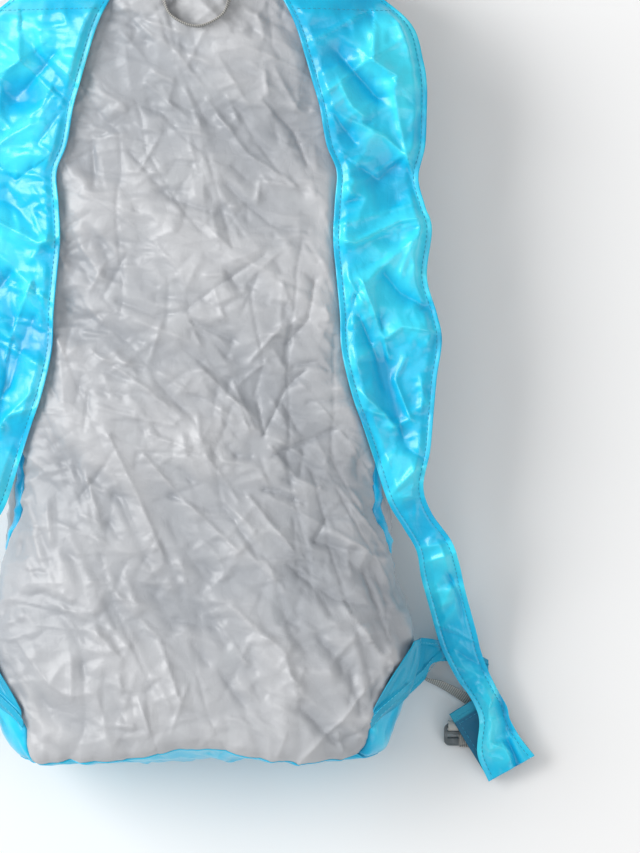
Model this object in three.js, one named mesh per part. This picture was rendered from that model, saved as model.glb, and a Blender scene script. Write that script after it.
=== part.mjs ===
// A packable day pack that stuffs into its own inner pouch, lying on its front panel.
// Millimetres. X runs across the pack, Y towards its top, Z from the front panel to the back panel.
import * as THREE from 'three';

// Pack body
const HALF_WIDTH = 115;
const HIP_SWELL = 16;
const HIP_Y = -175;
const HIP_SPREAD = 28;
const HALF_LENGTH = 232;
const AXIS_Z = 44;
const HALF_DEPTH = 52;
const EDGE_ROUND = 8;
const EDGE_RUN = 16;
const SQUARENESS = 2.8;
const WALL = 2;
const GAP = 0.4;
const GAP_DEGREES = 0.3;

// Seams between panels, as angles round the body's section, from +X towards +Z
const BACK_SEAM = 22;
const STRIPE_SEAM = 14;
const FRONT_SEAM = -40;
const BOOT_TOP_Y = -171;
const BOOT_SEAM = 40;
const BOTTOM_BULGE = 5;

// Mouth and zipper, in the plane of the pack's top end
const MOUTH_Y = HALF_LENGTH + GAP;
const ZIP_Z = 48;
const FLAP_HALF_WIDTH = 90;
const FLAP_LOW_Z = 52.5;
const FLAP_HIGH_Z = 85.5;
const FACE_HIGH_Z = 43.5;
const TAPE_WIDTH = 9;
const TAPE_THICK = 0.8;
const COIL_HIGH = 1.5;
const COIL_THICK = 1.6;
const ZIP_END_X = 104;
const COIL_END_X = 99;
const SLIDER_X = 95;
const SLIDER_WIDTH = 7;
const SLIDER_LOW = 4.2;
const SLIDER_HIGH = 2.2;
const SLIDER_PLATE = 0.9;
const PULL_LENGTH = 24;
const PULL_WIDTH = 5;
const PULL_THICK = 1.2;

// Shoulder straps, right side: inner and outer edges from the top seam to the folded end
const STRAP_INNER = [
  [48, 216], [65, 174], [80, 125], [82, 68], [86, 10], [98, -42],
  [114, -89], [134, -130], [146, -175], [160, -203], [169, -228], [176, -260],
];
const STRAP_OUTER = [
  [106, 216], [135, 174], [134, 125], [139, 68], [144, 10], [140, -46],
  [136, -84], [155, -120], [166, -160], [177, -197], [190, -220], [204, -244],
];
const STRAP_THICK = 2.4;
const STRAP_LIFT = 2.6;
const STRAP_OVERHANG = 8;
const STRAP_LEAVES_Y = -60;
const STRAP_DOWN_Y = -212;
const STRAP_LEAVE_Z = 74;
const STRAP_LOW_Z = 17;
const STRAP_FOLD_Z = 10.4;
const TAIL_HEM = [[152, -219], [173, -206]];
const TAIL_FOLD = [[176, -259], [203, -243.5]];
const TAIL_THICK = 1.8;
const TAIL_HEM_Z = 12.4;
const TAIL_FOLD_Z = 7.4;

// Lower wings
const WING_TOP = [[132, -170], [138, -172], [145, -173], [160, -177], [175, -184]];
const WING_LOW = [[124, -207], [136, -197], [143, -185], [160, -187], [175, -191]];
const WING_THICK = 1.6;
const WING_ROOT_X = 129;
const WING_TIP_X = 175;
const WING_ROOT_Z = 40;
const WING_TIP_Z = 7;

// Adjusters
const WEB_WIDTH = 9.4;
const WEB_THICK = 1.2;
const LOCK_AT = [156.5, -226, 7.4];
const LOCK_WIDTH = 15;
const LOCK_LENGTH = 14;
const LOCK_THICK = 2.4;
const LOCK_TILT = 21;
const LOCK_SLOT = 2.6;
const LOCK_BAR = 2;
const LOOP_OUTER_RADIUS = 3.2;
const LOOP_INNER_RADIUS = 2.2;
const LOOP_WIDTH = 10;

// Haul loop and inner pouch
const HAUL_HALF_SPAN = 20;
const HAUL_ROOT_Y = 229;
const HAUL_REACH = 36;
const HAUL_LIFT = 1.2;
const POUCH_HALF_WIDTH = 62;
const POUCH_LOW_Y = 60;
const POUCH_HIGH_Y = 205;
const POUCH_THICK = 1.4;

const FINISHES = {
  greyFabric: { color: 0xb9bbbf, roughness: 0.45, metalness: 0 },
  blueFabric: { color: 0x0ab4dc, roughness: 0.4, metalness: 0 },
  greyWebbing: { color: 0x8e918a, roughness: 0.8, metalness: 0 },
  zipTape: { color: 0x5b6066, roughness: 0.85, metalness: 0 },
  darkPlastic: { color: 0x4c5054, roughness: 0.5, metalness: 0 },
  sliderMetal: { color: 0x8a8f94, roughness: 0.35, metalness: 0.9 },
};

const group = new THREE.Group();

function lerp(a, b, t) {
  return a + (b - a) * t;
}

function smooth(t) {
  const held = Math.min(1, Math.max(0, t));
  return held * held * (3 - 2 * held);
}

function addPiece(name, geometry, finish) {
  const mesh = new THREE.Mesh(geometry, new THREE.MeshStandardMaterial(FINISHES[finish]));
  mesh.name = name;
  group.add(mesh);
  return mesh;
}

// Six times the volume that a list of triangles encloses; negative when the faces point inwards.
function signedVolume(points, triangles) {
  let sum = 0;
  const cross = new THREE.Vector3();
  for (const [a, b, c] of triangles) {
    cross.crossVectors(points[b], points[c]);
    sum += points[a].dot(cross);
  }
  return sum;
}

function solidFrom(points, triangles) {
  const inwards = signedVolume(points, triangles) < 0;
  const geometry = new THREE.BufferGeometry();
  const ordered = triangles.map(([a, b, c]) => (inwards ? [a, c, b] : [a, b, c]));
  geometry.setIndex(ordered.flat());
  geometry.setAttribute('position', new THREE.Float32BufferAttribute(points.flatMap((p) => p.toArray()), 3));
  geometry.computeVertexNormals();
  return geometry;
}

// A closed sheet: a grid of points on its face, the matching grid on its reverse, and its four edges.
function sheet(face, reverse, across, along) {
  const points = [];
  for (const side of [face, reverse]) {
    for (let i = 0; i <= across; i += 1) {
      for (let j = 0; j <= along; j += 1) {
        points.push(side(i / across, j / along));
      }
    }
  }
  const at = (side, i, j) => (side * (across + 1) + i) * (along + 1) + j;
  const triangles = [];
  const quad = (a, b, c, d) => triangles.push([a, b, c], [a, c, d]);
  for (let i = 0; i < across; i += 1) {
    for (let j = 0; j < along; j += 1) {
      quad(at(0, i, j), at(0, i + 1, j), at(0, i + 1, j + 1), at(0, i, j + 1));
      quad(at(1, i, j), at(1, i, j + 1), at(1, i + 1, j + 1), at(1, i + 1, j));
    }
    quad(at(0, i, 0), at(1, i, 0), at(1, i + 1, 0), at(0, i + 1, 0));
    quad(at(0, i, along), at(0, i + 1, along), at(1, i + 1, along), at(1, i, along));
  }
  for (let j = 0; j < along; j += 1) {
    quad(at(0, 0, j), at(0, 0, j + 1), at(1, 0, j + 1), at(1, 0, j));
    quad(at(0, across, j), at(1, across, j), at(1, across, j + 1), at(0, across, j + 1));
  }
  return solidFrom(points, triangles);
}

function block(low, high) {
  const size = high.map((value, k) => value - low[k]);
  const geometry = new THREE.BoxGeometry(...size);
  geometry.translate(...low.map((value, k) => value + size[k] / 2));
  return geometry;
}

// ---- Pack body: a squared-off oval section, swelling at the hips and rounding over at both ends ----

function edgeDrop(y) {
  const run = Math.min(1, Math.max(0, (Math.abs(y) - HALF_LENGTH + EDGE_RUN) / EDGE_RUN));
  return EDGE_ROUND * (1 - Math.sqrt(1 - run * run));
}

function halfWidthAt(y) {
  const fromHip = (y - HIP_Y) / HIP_SPREAD;
  return HALF_WIDTH + HIP_SWELL * Math.exp(-fromHip * fromHip / 2) - edgeDrop(y);
}

function sectionPoint(degrees, y, inset) {
  const angle = THREE.MathUtils.degToRad(degrees);
  const power = 2 / SQUARENESS;
  const c = Math.cos(angle);
  const s = Math.sin(angle);
  const x = Math.sign(c) * Math.abs(c) ** power * (halfWidthAt(y) - inset);
  const z = AXIS_Z + Math.sign(s) * Math.abs(s) ** power * (HALF_DEPTH - edgeDrop(y) - inset);
  return new THREE.Vector3(x, y, Math.max(z, inset));
}

// Height of the section above the body's axis at a distance x from its middle.
function sectionRise(x, y, inset) {
  const share = Math.min(1, Math.abs(x) / (halfWidthAt(y) - inset));
  return (HALF_DEPTH - edgeDrop(y) - inset) * (1 - share ** SQUARENESS) ** (1 / SQUARENESS);
}

// A body panel between two seam angles, which may depend on y, and two places along the pack.
function bodyPanel(fromDegrees, toDegrees, lowY, highY, across, along) {
  const surface = (inset) => (u, v) => {
    const y = lerp(lowY, highY, v);
    return sectionPoint(lerp(fromDegrees(y), toDegrees(y), u), y, inset);
  };
  return sheet(surface(0), surface(WALL), across, along);
}

function backSeamAt(y) {
  const down = Math.max(0, (BOOT_TOP_Y - y) / (HALF_LENGTH + BOOT_TOP_Y));
  return lerp(BACK_SEAM, BOOT_SEAM, down);
}

const mirrorAngle = (side, seam) => (y) => (side > 0 ? seam(y) : 180 - seam(y));

function buildBody() {
  const backEdge = (y) => backSeamAt(y) + GAP_DEGREES;
  addPiece('back_panel', bodyPanel(backEdge, (y) => 180 - backEdge(y), -HALF_LENGTH, HALF_LENGTH, 22, 24), 'greyFabric');
  const frontEdge = () => FRONT_SEAM - GAP_DEGREES;
  addPiece('front_panel', bodyPanel((y) => -180 - frontEdge(y), frontEdge, -HALF_LENGTH, HALF_LENGTH, 14, 18), 'blueFabric');
  for (const [suffix, side] of [['left', -1], ['right', 1]]) {
    const seam = (offset) => mirrorAngle(side, () => offset);
    const sideLow = BOOT_TOP_Y + GAP;
    addPiece(
      `side_stripe_${suffix}`,
      bodyPanel(seam(STRIPE_SEAM + GAP_DEGREES), seam(BACK_SEAM - GAP_DEGREES), sideLow, HALF_LENGTH, 1, 18),
      'blueFabric',
    );
    addPiece(
      `side_panel_${suffix}`,
      bodyPanel(seam(FRONT_SEAM + GAP_DEGREES), seam(STRIPE_SEAM - GAP_DEGREES), sideLow, HALF_LENGTH, 6, 18),
      'greyFabric',
    );
    const bootTop = mirrorAngle(side, (y) => backSeamAt(y) - GAP_DEGREES);
    addPiece(
      `boot_corner_${suffix}`,
      bodyPanel(seam(FRONT_SEAM + GAP_DEGREES), bootTop, -HALF_LENGTH, BOOT_TOP_Y, 8, 6),
      'blueFabric',
    );
  }
}

// ---- Ends of the pack ----

// A plate across the pack's end, between two curves given as functions of x.
function endPlate(lowX, highX, lowZ, highZ, outerY, innerY, across, up) {
  const surface = (yAt) => (u, v) => {
    const x = lerp(lowX, highX, u);
    const z = lerp(lowZ(x), highZ(x), v);
    return new THREE.Vector3(x, yAt(x, z), z);
  };
  return sheet(surface(outerY), surface(innerY), across, up);
}

function buildBottom() {
  const y = -HALF_LENGTH;
  const reach = halfWidthAt(y) * 0.985;
  const top = (x) => AXIS_Z + sectionRise(x, y, 0);
  const bottom = (x) => AXIS_Z - sectionRise(x, y, 0);
  const bulge = (x, z) => BOTTOM_BULGE * (1 - (x / reach) ** 2) * (1 - ((z - AXIS_Z) / AXIS_Z) ** 2);
  const inner = (x, z) => y - GAP - bulge(x, z);
  const outer = (x, z) => inner(x, z) - WALL;
  addPiece('bottom_panel', endPlate(-reach, reach, bottom, top, outer, inner, 16, 6), 'blueFabric');
}

const MOUTH_FACE_Y = MOUTH_Y + WALL;
const TAPE_Y = MOUTH_FACE_Y + GAP;
const COIL_Y = TAPE_Y + TAPE_THICK + GAP;

function buildMouth() {
  const y = HALF_LENGTH;
  const reach = halfWidthAt(y) * 0.985;
  const top = (x) => AXIS_Z + sectionRise(x, y, 0);
  const bottom = (x) => AXIS_Z - sectionRise(x, y, 0);
  const outer = () => MOUTH_FACE_Y;
  const inner = () => MOUTH_Y;
  const flapTop = (x) => Math.min(top(x) - GAP / 2, FLAP_HIGH_Z);
  addPiece(
    'mouth_flap',
    endPlate(-FLAP_HALF_WIDTH, FLAP_HALF_WIDTH, () => FLAP_LOW_Z, flapTop, outer, inner, 16, 3),
    'greyFabric',
  );
  addPiece(
    'mouth_face',
    endPlate(-FLAP_HALF_WIDTH, FLAP_HALF_WIDTH, bottom, () => FACE_HIGH_Z, outer, inner, 16, 3),
    'blueFabric',
  );
  // Each tape and coil runs beside the parting line: on the flap above it, on the face below it.
  for (const [suffix, up] of [['flap', 1], ['face', -1]]) {
    const edge = ZIP_Z + up * GAP / 2;
    const between = (a, b) => [Math.min(a, b), Math.max(a, b)];
    const [tapeLow, tapeHigh] = between(edge, ZIP_Z + up * TAPE_WIDTH);
    addPiece(`zip_tape_${suffix}`, block(
      [-FLAP_HALF_WIDTH, TAPE_Y, tapeLow],
      [FLAP_HALF_WIDTH, TAPE_Y + TAPE_THICK, tapeHigh],
    ), 'zipTape');
    const coilEndX = up > 0 ? FLAP_HALF_WIDTH : COIL_END_X;
    const [coilLow, coilHigh] = between(edge, edge + up * COIL_HIGH);
    addPiece(`zip_coil_${suffix}`, block(
      [-coilEndX, COIL_Y, coilLow],
      [coilEndX, COIL_Y + COIL_THICK, coilHigh],
    ), 'darkPlastic');
  }
  for (const [suffix, side] of [['left', -1], ['right', 1]]) {
    const nearX = side * (FLAP_HALF_WIDTH + GAP);
    addPiece(`mouth_end_${suffix}`, endPlate(nearX, side * reach, bottom, top, outer, inner, 3, 4), 'greyFabric');
    const ends = [nearX, side * ZIP_END_X].sort((a, b) => a - b);
    addPiece(`zip_end_tape_${suffix}`, block(
      [ends[0], TAPE_Y, ZIP_Z - TAPE_WIDTH],
      [ends[1], TAPE_Y + TAPE_THICK, ZIP_Z + TAPE_WIDTH],
    ), 'zipTape');
    const stop = [side * (COIL_END_X + GAP), side * ZIP_END_X].sort((a, b) => a - b);
    addPiece(`zip_stop_${suffix}`, block(
      [stop[0], COIL_Y, ZIP_Z - COIL_HIGH],
      [stop[1], COIL_Y + COIL_THICK, ZIP_Z + COIL_HIGH],
    ), 'darkPlastic');
  }
}

const SLIDER_FACE_Y = COIL_Y + COIL_THICK + GAP;

// The slider's plate lies over the coils, and its hook runs under the lower one.
function buildSlider() {
  const hookHigh = ZIP_Z - GAP / 2 - COIL_HIGH - GAP;
  const outline = new THREE.Shape();
  outline.moveTo(COIL_Y, ZIP_Z - SLIDER_LOW);
  outline.lineTo(COIL_Y, hookHigh);
  outline.lineTo(SLIDER_FACE_Y, hookHigh);
  outline.lineTo(SLIDER_FACE_Y, ZIP_Z + SLIDER_HIGH);
  outline.lineTo(SLIDER_FACE_Y + SLIDER_PLATE, ZIP_Z + SLIDER_HIGH);
  outline.lineTo(SLIDER_FACE_Y + SLIDER_PLATE, ZIP_Z - SLIDER_LOW);
  outline.closePath();
  const geometry = new THREE.ExtrudeGeometry(outline, { depth: SLIDER_WIDTH, bevelEnabled: false });
  // The outline is drawn in Y and Z, so its axes are turned onto the pack's.
  geometry.applyMatrix4(new THREE.Matrix4().makeBasis(
    new THREE.Vector3(0, 1, 0),
    new THREE.Vector3(0, 0, 1),
    new THREE.Vector3(1, 0, 0),
  ));
  geometry.translate(SLIDER_X - SLIDER_WIDTH / 2, 0, 0);
  addPiece('zip_slider', geometry, 'sliderMetal');
}

function buildPull() {
  const outline = new THREE.Shape();
  const half = PULL_WIDTH / 2;
  outline.moveTo(-half, 0);
  outline.lineTo(-half, -PULL_LENGTH + half);
  outline.absarc(0, -PULL_LENGTH + half, half, Math.PI, 2 * Math.PI, false);
  outline.lineTo(half, 0);
  outline.closePath();
  const eye = new THREE.Path();
  eye.absarc(0, -PULL_LENGTH + half, half / 2, 0, 2 * Math.PI, true);
  outline.holes.push(eye);
  const geometry = new THREE.ExtrudeGeometry(outline, { depth: PULL_THICK, bevelEnabled: false, curveSegments: 6 });
  geometry.rotateX(Math.PI / 2);
  geometry.translate(SLIDER_X, SLIDER_FACE_Y + SLIDER_PLATE + GAP + PULL_THICK, ZIP_Z - GAP);
  addPiece('zip_pull', geometry, 'sliderMetal');
}

// ---- Shoulder straps ----

function planCurve(points, side) {
  return new THREE.CatmullRomCurve3(points.map(([x, y]) => new THREE.Vector3(side * x, y, 0)));
}

// Height of a strap's underside: it lies on the back panel, then falls away past the pack's side.
function strapHeight(x, y) {
  const reach = halfWidthAt(y) - STRAP_OVERHANG;
  const lying = AXIS_Z + sectionRise(Math.min(Math.abs(x), reach), y, 0) + STRAP_LIFT;
  const fall = smooth((STRAP_LEAVES_Y - y) / (STRAP_LEAVES_Y - STRAP_DOWN_Y));
  const ended = smooth((STRAP_DOWN_Y - y) / (STRAP_DOWN_Y + 260));
  const free = lerp(lerp(STRAP_LEAVE_Z, STRAP_LOW_Z, fall), STRAP_FOLD_Z, ended);
  const leaving = smooth((STRAP_LEAVES_Y + 24 - y) / 24);
  const clear = Math.abs(x) < halfWidthAt(y) ? AXIS_Z + sectionRise(x, y, 0) + STRAP_LIFT : 0;
  return Math.max(clear, lerp(lying, free, leaving));
}

function buildStrap(suffix, side) {
  const inner = planCurve(STRAP_INNER, side);
  const outer = planCurve(STRAP_OUTER, side);
  const surface = (lift) => (u, v) => {
    const point = inner.getPoint(v).lerp(outer.getPoint(v), u);
    point.z = strapHeight(point.x, point.y) + lift;
    return point;
  };
  addPiece(`shoulder_strap_${suffix}`, sheet(surface(STRAP_THICK), surface(0), 5, 44), 'blueFabric');
  const corner = ([x, y], z) => new THREE.Vector3(side * x, y, z);
  const tail = (lift) => (u, v) => {
    const hem = corner(TAIL_HEM[0], TAIL_HEM_Z).lerp(corner(TAIL_HEM[1], TAIL_HEM_Z), u);
    const fold = corner(TAIL_FOLD[0], TAIL_FOLD_Z).lerp(corner(TAIL_FOLD[1], TAIL_FOLD_Z), u);
    hem.lerp(fold, v);
    hem.z += lift;
    return hem;
  };
  addPiece(`strap_tail_${suffix}`, sheet(tail(TAIL_THICK), tail(0), 2, 4), 'blueFabric');
}

// ---- Wings, adjuster webbing and ladder-locks ----

function buildWing(suffix, side) {
  const top = planCurve(WING_TOP, side);
  const low = planCurve(WING_LOW, side);
  const surface = (lift) => (u, v) => {
    const point = low.getPoint(u).lerp(top.getPoint(u), v);
    const clear = halfWidthAt(point.y) + GAP * 2;
    const x = Math.max(Math.abs(point.x), clear);
    const away = Math.min(1, Math.max(0, (x - WING_ROOT_X) / (WING_TIP_X - WING_ROOT_X)));
    const z = WING_TIP_Z + (WING_ROOT_Z - WING_TIP_Z) * (1 - away) ** 2 + lift;
    return new THREE.Vector3(side * x, point.y, z);
  };
  addPiece(`wing_${suffix}`, sheet(surface(WING_THICK), surface(0), 8, 4), 'blueFabric');
}

// Flat webbing along a curve. `stand` gives how far it stands on edge, 0 flat to 1 upright.
function webbing(path, stand, width, thick, steps) {
  const frame = (t) => {
    const tangent = path.getTangent(t);
    const flat = new THREE.Vector3(-tangent.y, tangent.x, 0).normalize();
    const upright = new THREE.Vector3(0, 0, 1);
    const wide = flat.multiplyScalar(Math.cos(stand(t) * Math.PI / 2));
    wide.addScaledVector(upright, Math.sin(stand(t) * Math.PI / 2));
    const normal = new THREE.Vector3().crossVectors(tangent, wide).normalize();
    return { wide, normal };
  };
  const surface = (sign) => (u, v) => {
    const { wide, normal } = frame(v);
    const point = path.getPoint(v);
    point.addScaledVector(wide, (u - 0.5) * width);
    return point.addScaledVector(normal, sign * thick / 2);
  };
  return sheet(surface(1), surface(-1), 1, steps);
}

const ADJUSTER_ROUTE = [
  [168, -187, 4.6], [152, -187, 6], [139, -190, 9], [134, -195, 9.5], [139, -200, 9],
  [151, -202, 7.4], [163, -206, 4.4], [174, -214, 2.6], [177, -226, 2], [170, -235, 1.6],
];
const ADJUSTER_STAND = [0, 0.35, 1, 1, 1, 0.6, 0.15, 0, 0, 0];
const ADJUSTER_END_ROUTE = [[167, -230, 5], [180, -233, 4.6], [192, -238, 4.6]];

function buildAdjuster(suffix, side) {
  const at = (list) => list.map(([x, y, z]) => new THREE.Vector3(side * x, y, z));
  const stand = (t) => {
    const place = t * (ADJUSTER_STAND.length - 1);
    const index = Math.min(ADJUSTER_STAND.length - 2, Math.floor(place));
    return side * lerp(ADJUSTER_STAND[index], ADJUSTER_STAND[index + 1], place - index);
  };
  const route = new THREE.CatmullRomCurve3(at(ADJUSTER_ROUTE));
  addPiece(`adjuster_webbing_${suffix}`, webbing(route, stand, WEB_WIDTH, WEB_THICK, 40), 'greyWebbing');
  const end = new THREE.CatmullRomCurve3(at(ADJUSTER_END_ROUTE));
  addPiece(`adjuster_end_${suffix}`, webbing(end, () => 0, WEB_WIDTH, WEB_THICK, 8), 'greyWebbing');
}

// The webbing loop that holds the ladder-lock's first bar under the strap's end.
function buildLockLoop(suffix, side) {
  const outline = new THREE.Shape();
  outline.absarc(0, 0, LOOP_OUTER_RADIUS, 0, 2 * Math.PI, false);
  const eye = new THREE.Path();
  eye.absarc(0, 0, LOOP_INNER_RADIUS, 0, 2 * Math.PI, true);
  outline.holes.push(eye);
  const geometry = new THREE.ExtrudeGeometry(outline, { depth: LOOP_WIDTH, bevelEnabled: false, curveSegments: 8 });
  geometry.translate(0, 0, -LOOP_WIDTH / 2);
  geometry.rotateY(Math.PI / 2);
  const mesh = addPiece(`lock_loop_${suffix}`, geometry, 'greyWebbing');
  mesh.position.set(side * LOCK_AT[0], LOCK_AT[1], LOCK_AT[2]);
}

function buildLadderLock(suffix, side) {
  const half = LOCK_WIDTH / 2;
  const outline = new THREE.Shape();
  outline.moveTo(-half, LOCK_BAR / 2);
  outline.lineTo(-half, LOCK_BAR / 2 - LOCK_LENGTH);
  outline.lineTo(half, LOCK_BAR / 2 - LOCK_LENGTH);
  outline.lineTo(half, LOCK_BAR / 2);
  outline.closePath();
  for (let k = 0; k < 2; k += 1) {
    const slotTop = -LOCK_BAR / 2 - k * (LOCK_SLOT + LOCK_BAR);
    const slot = new THREE.Path();
    slot.moveTo(-half + LOCK_BAR, slotTop);
    slot.lineTo(half - LOCK_BAR, slotTop);
    slot.lineTo(half - LOCK_BAR, slotTop - LOCK_SLOT);
    slot.lineTo(-half + LOCK_BAR, slotTop - LOCK_SLOT);
    slot.closePath();
    outline.holes.push(slot);
  }
  const geometry = new THREE.ExtrudeGeometry(outline, { depth: LOCK_THICK, bevelEnabled: false });
  geometry.translate(0, 0, -LOCK_THICK / 2);
  const mesh = addPiece(`ladder_lock_${suffix}`, geometry, 'darkPlastic');
  mesh.position.set(side * LOCK_AT[0], LOCK_AT[1], LOCK_AT[2]);
  mesh.rotation.set(THREE.MathUtils.degToRad(LOCK_TILT), 0, 0);
}

// ---- Haul loop and inner pouch ----

function buildHaulLoop() {
  const points = [];
  const steps = 12;
  for (let k = 0; k <= steps; k += 1) {
    const turn = Math.PI * k / steps;
    points.push(new THREE.Vector3(
      -HAUL_HALF_SPAN * Math.cos(turn),
      HAUL_ROOT_Y - HAUL_REACH * Math.sin(turn) ** 0.7,
      0,
    ));
    const point = points.at(-1);
    point.z = AXIS_Z + sectionRise(point.x, point.y, 0) + HAUL_LIFT + WEB_WIDTH / 2;
  }
  const path = new THREE.CatmullRomCurve3(points);
  addPiece('haul_loop', webbing(path, () => 1, WEB_WIDTH, WEB_THICK, 24), 'greyWebbing');
}

function buildPouch() {
  const low = WALL + GAP;
  addPiece('stuff_pouch', block(
    [-POUCH_HALF_WIDTH, POUCH_LOW_Y, low],
    [POUCH_HALF_WIDTH, POUCH_HIGH_Y, low + POUCH_THICK],
  ), 'greyFabric');
}

buildBody();
buildBottom();
buildMouth();
buildSlider();
buildPull();
buildHaulLoop();
buildPouch();
for (const [suffix, side] of [['left', -1], ['right', 1]]) {
  buildStrap(suffix, side);
  buildWing(suffix, side);
  buildAdjuster(suffix, side);
  buildLadderLock(suffix, side);
  buildLockLoop(suffix, side);
}

export default group;
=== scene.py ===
"""A packable day pack of crumpled coated cloth, lying on its front with its back panel up."""
import math

import bmesh
import bpy
import numpy as np
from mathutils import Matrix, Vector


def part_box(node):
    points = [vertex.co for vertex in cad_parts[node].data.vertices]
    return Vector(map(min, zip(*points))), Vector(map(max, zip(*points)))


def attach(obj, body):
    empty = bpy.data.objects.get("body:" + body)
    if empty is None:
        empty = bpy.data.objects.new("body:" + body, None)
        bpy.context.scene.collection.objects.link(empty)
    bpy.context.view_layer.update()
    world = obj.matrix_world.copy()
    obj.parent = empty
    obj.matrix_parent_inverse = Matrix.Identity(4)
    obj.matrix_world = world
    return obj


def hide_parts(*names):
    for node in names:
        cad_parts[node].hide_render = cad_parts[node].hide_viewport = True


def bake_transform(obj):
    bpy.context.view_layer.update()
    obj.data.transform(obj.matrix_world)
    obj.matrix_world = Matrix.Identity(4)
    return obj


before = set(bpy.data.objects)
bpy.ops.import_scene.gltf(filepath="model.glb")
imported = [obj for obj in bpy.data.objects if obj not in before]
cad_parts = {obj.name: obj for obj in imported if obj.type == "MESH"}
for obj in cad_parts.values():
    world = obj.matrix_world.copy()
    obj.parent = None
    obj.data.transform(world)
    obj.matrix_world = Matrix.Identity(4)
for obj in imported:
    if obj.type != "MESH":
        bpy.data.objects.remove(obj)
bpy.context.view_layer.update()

# ---- Driving sizes, in millimetres unless a name says otherwise ----
MM = 0.001
HALF_WIDTH, HIP_SWELL, HIP_Y, HIP_SPREAD = 115.0, 16.0, -175.0, 28.0
HALF_LENGTH, EDGE_ROUND, EDGE_RUN = 232.0, 8.0, 16.0
AXIS_Z, HALF_DEPTH, SQUARENESS = 44.0, 52.0, 2.8
BOOT_TOP_Y = -171.0
ZIP_Z, MOUTH_Y = 48.0, 233.4
FRONT_SEAM = -40.0
BACK_SEAM_Y = (-232, -216, -208, -196, -183, -171, -150, -128, -118, -106, -90, -60)
BACK_SEAM_ANGLE = (33, 37, 33, 26, 16, 4, -5, 0, 7, 17, 25, 27)
STRIPE_ANGLE = 7.0
CLOTH = 0.5
HEM = 3.2
STITCH_PITCH, STITCH_LENGTH, STITCH_THICK = 3.1, 2.3, 0.42

STRAP_INNER = (
    (48, 216), (58, 196), (65, 174), (69, 160), (73, 146), (77, 124), (83, 108), (82, 90), (81, 68),
    (83, 45), (85, 23), (86, 2), (92, -24), (99, -44), (106, -65), (114, -89), (123, -104), (131, -118),
    (134, -134), (139, -152), (145, -173), (149, -183), (157, -198), (163, -206), (168, -215), (170, -224),
    (169, -243), (176, -260),
)
STRAP_OUTER = (
    (106, 216), (128, 196), (135, 174), (137, 160), (137, 146), (136, 124), (132, 105), (136, 88),
    (140, 74), (137, 46), (143, 24), (146, 8), (143, -14), (141, -36), (139, -58), (135, -79), (140, -95),
    (152, -112), (157, -126), (161, -143), (168, -168), (171, -180), (176, -193), (182, -205), (187, -214),
    (189, -222), (196, -234), (204, -244),
)
STRAP_OVERHANG, STRAP_LIFT = 8.0, 2.0
STRAP_LEAVES_Y, STRAP_DOWN_Y, STRAP_END_Y = -60.0, -212.0, -260.0
STRAP_LEAVE_Z, STRAP_LOW_Z, STRAP_FOLD_Z = 74.0, 17.0, 10.4


# ---- Fields that crumple cloth: whole arrays in, whole arrays out ----

def lerp(a, b, t):
    """The mix of a and b at share t."""
    return a + (b - a) * t


def smooth(t):
    """3t^2 - 2t^3 between 0 and 1, held at both ends."""
    t = np.clip(t, 0, 1)
    return t * t * (3 - 2 * t)


def bump_at(x, middle, spread):
    """A bell curve: exp(-((x - middle) / spread)^2 / 2)."""
    return np.exp(-((x - middle) / spread) ** 2 / 2)


def facets(u, v, seed):
    """Random heights from -1 to 1 at the corners of a unit lattice, joined by flat triangles."""
    heights = np.random.default_rng(seed).uniform(-1, 1, (64, 64))
    i, j = np.floor(u).astype(int), np.floor(v).astype(int)
    fu, fv = u - i, v - j
    low = heights[i % 64, j % 64]
    high = heights[(i + 1) % 64, (j + 1) % 64]
    side = np.where(fu > fv, heights[(i + 1) % 64, j % 64], heights[i % 64, (j + 1) % 64])
    return low + np.maximum(fu, fv) * (side - low) + np.minimum(fu, fv) * (high - side)


def crumple(u, v, seed, size, stretch=1.0, turn=0.0, wander=0.6):
    """Flat facets about size wide and stretch times as long, on a lattice turned and bent by coarser ones."""
    c, s = math.cos(turn), math.sin(turn)
    p, q = (u * c + v * s) / size, (v * c - u * s) / (size * stretch)
    bent_p = p + wander * facets(p * 0.55 + 3.1, q * 0.55 + 1.7, seed + 1)
    bent_q = q + wander * facets(p * 0.55 + 9.4, q * 0.55 + 5.2, seed + 2)
    return facets(bent_p, bent_q, seed)


def ridges(u, v, seed, size, stretch=1.0, turn=0.0, sharp=9.0):
    """Thin raised lines where a facet field crosses zero: exp(-sharp * |crumple|)."""
    return np.exp(-sharp * np.abs(crumple(u, v, seed, size, stretch, turn, 0.9)))


def crease(x, y, line, height, width):
    """A pinched fold along ((x1, y1), (x2, y2)): height * exp(-distance / width), rounded at its crest."""
    (x1, y1), (x2, y2) = line
    length = math.hypot(x2 - x1, y2 - y1)
    ux, uy = (x2 - x1) / length, (y2 - y1) / length
    along = ((x - x1) * ux + (y - y1) * uy) / length
    across = (y - y1) * ux - (x - x1) * uy
    ends = smooth(along / 0.25) * smooth((1 - along) / 0.25)
    rounded = np.sqrt(across ** 2 + 0.4) - 0.63
    return height * ends * np.exp(-rounded / width)


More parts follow.
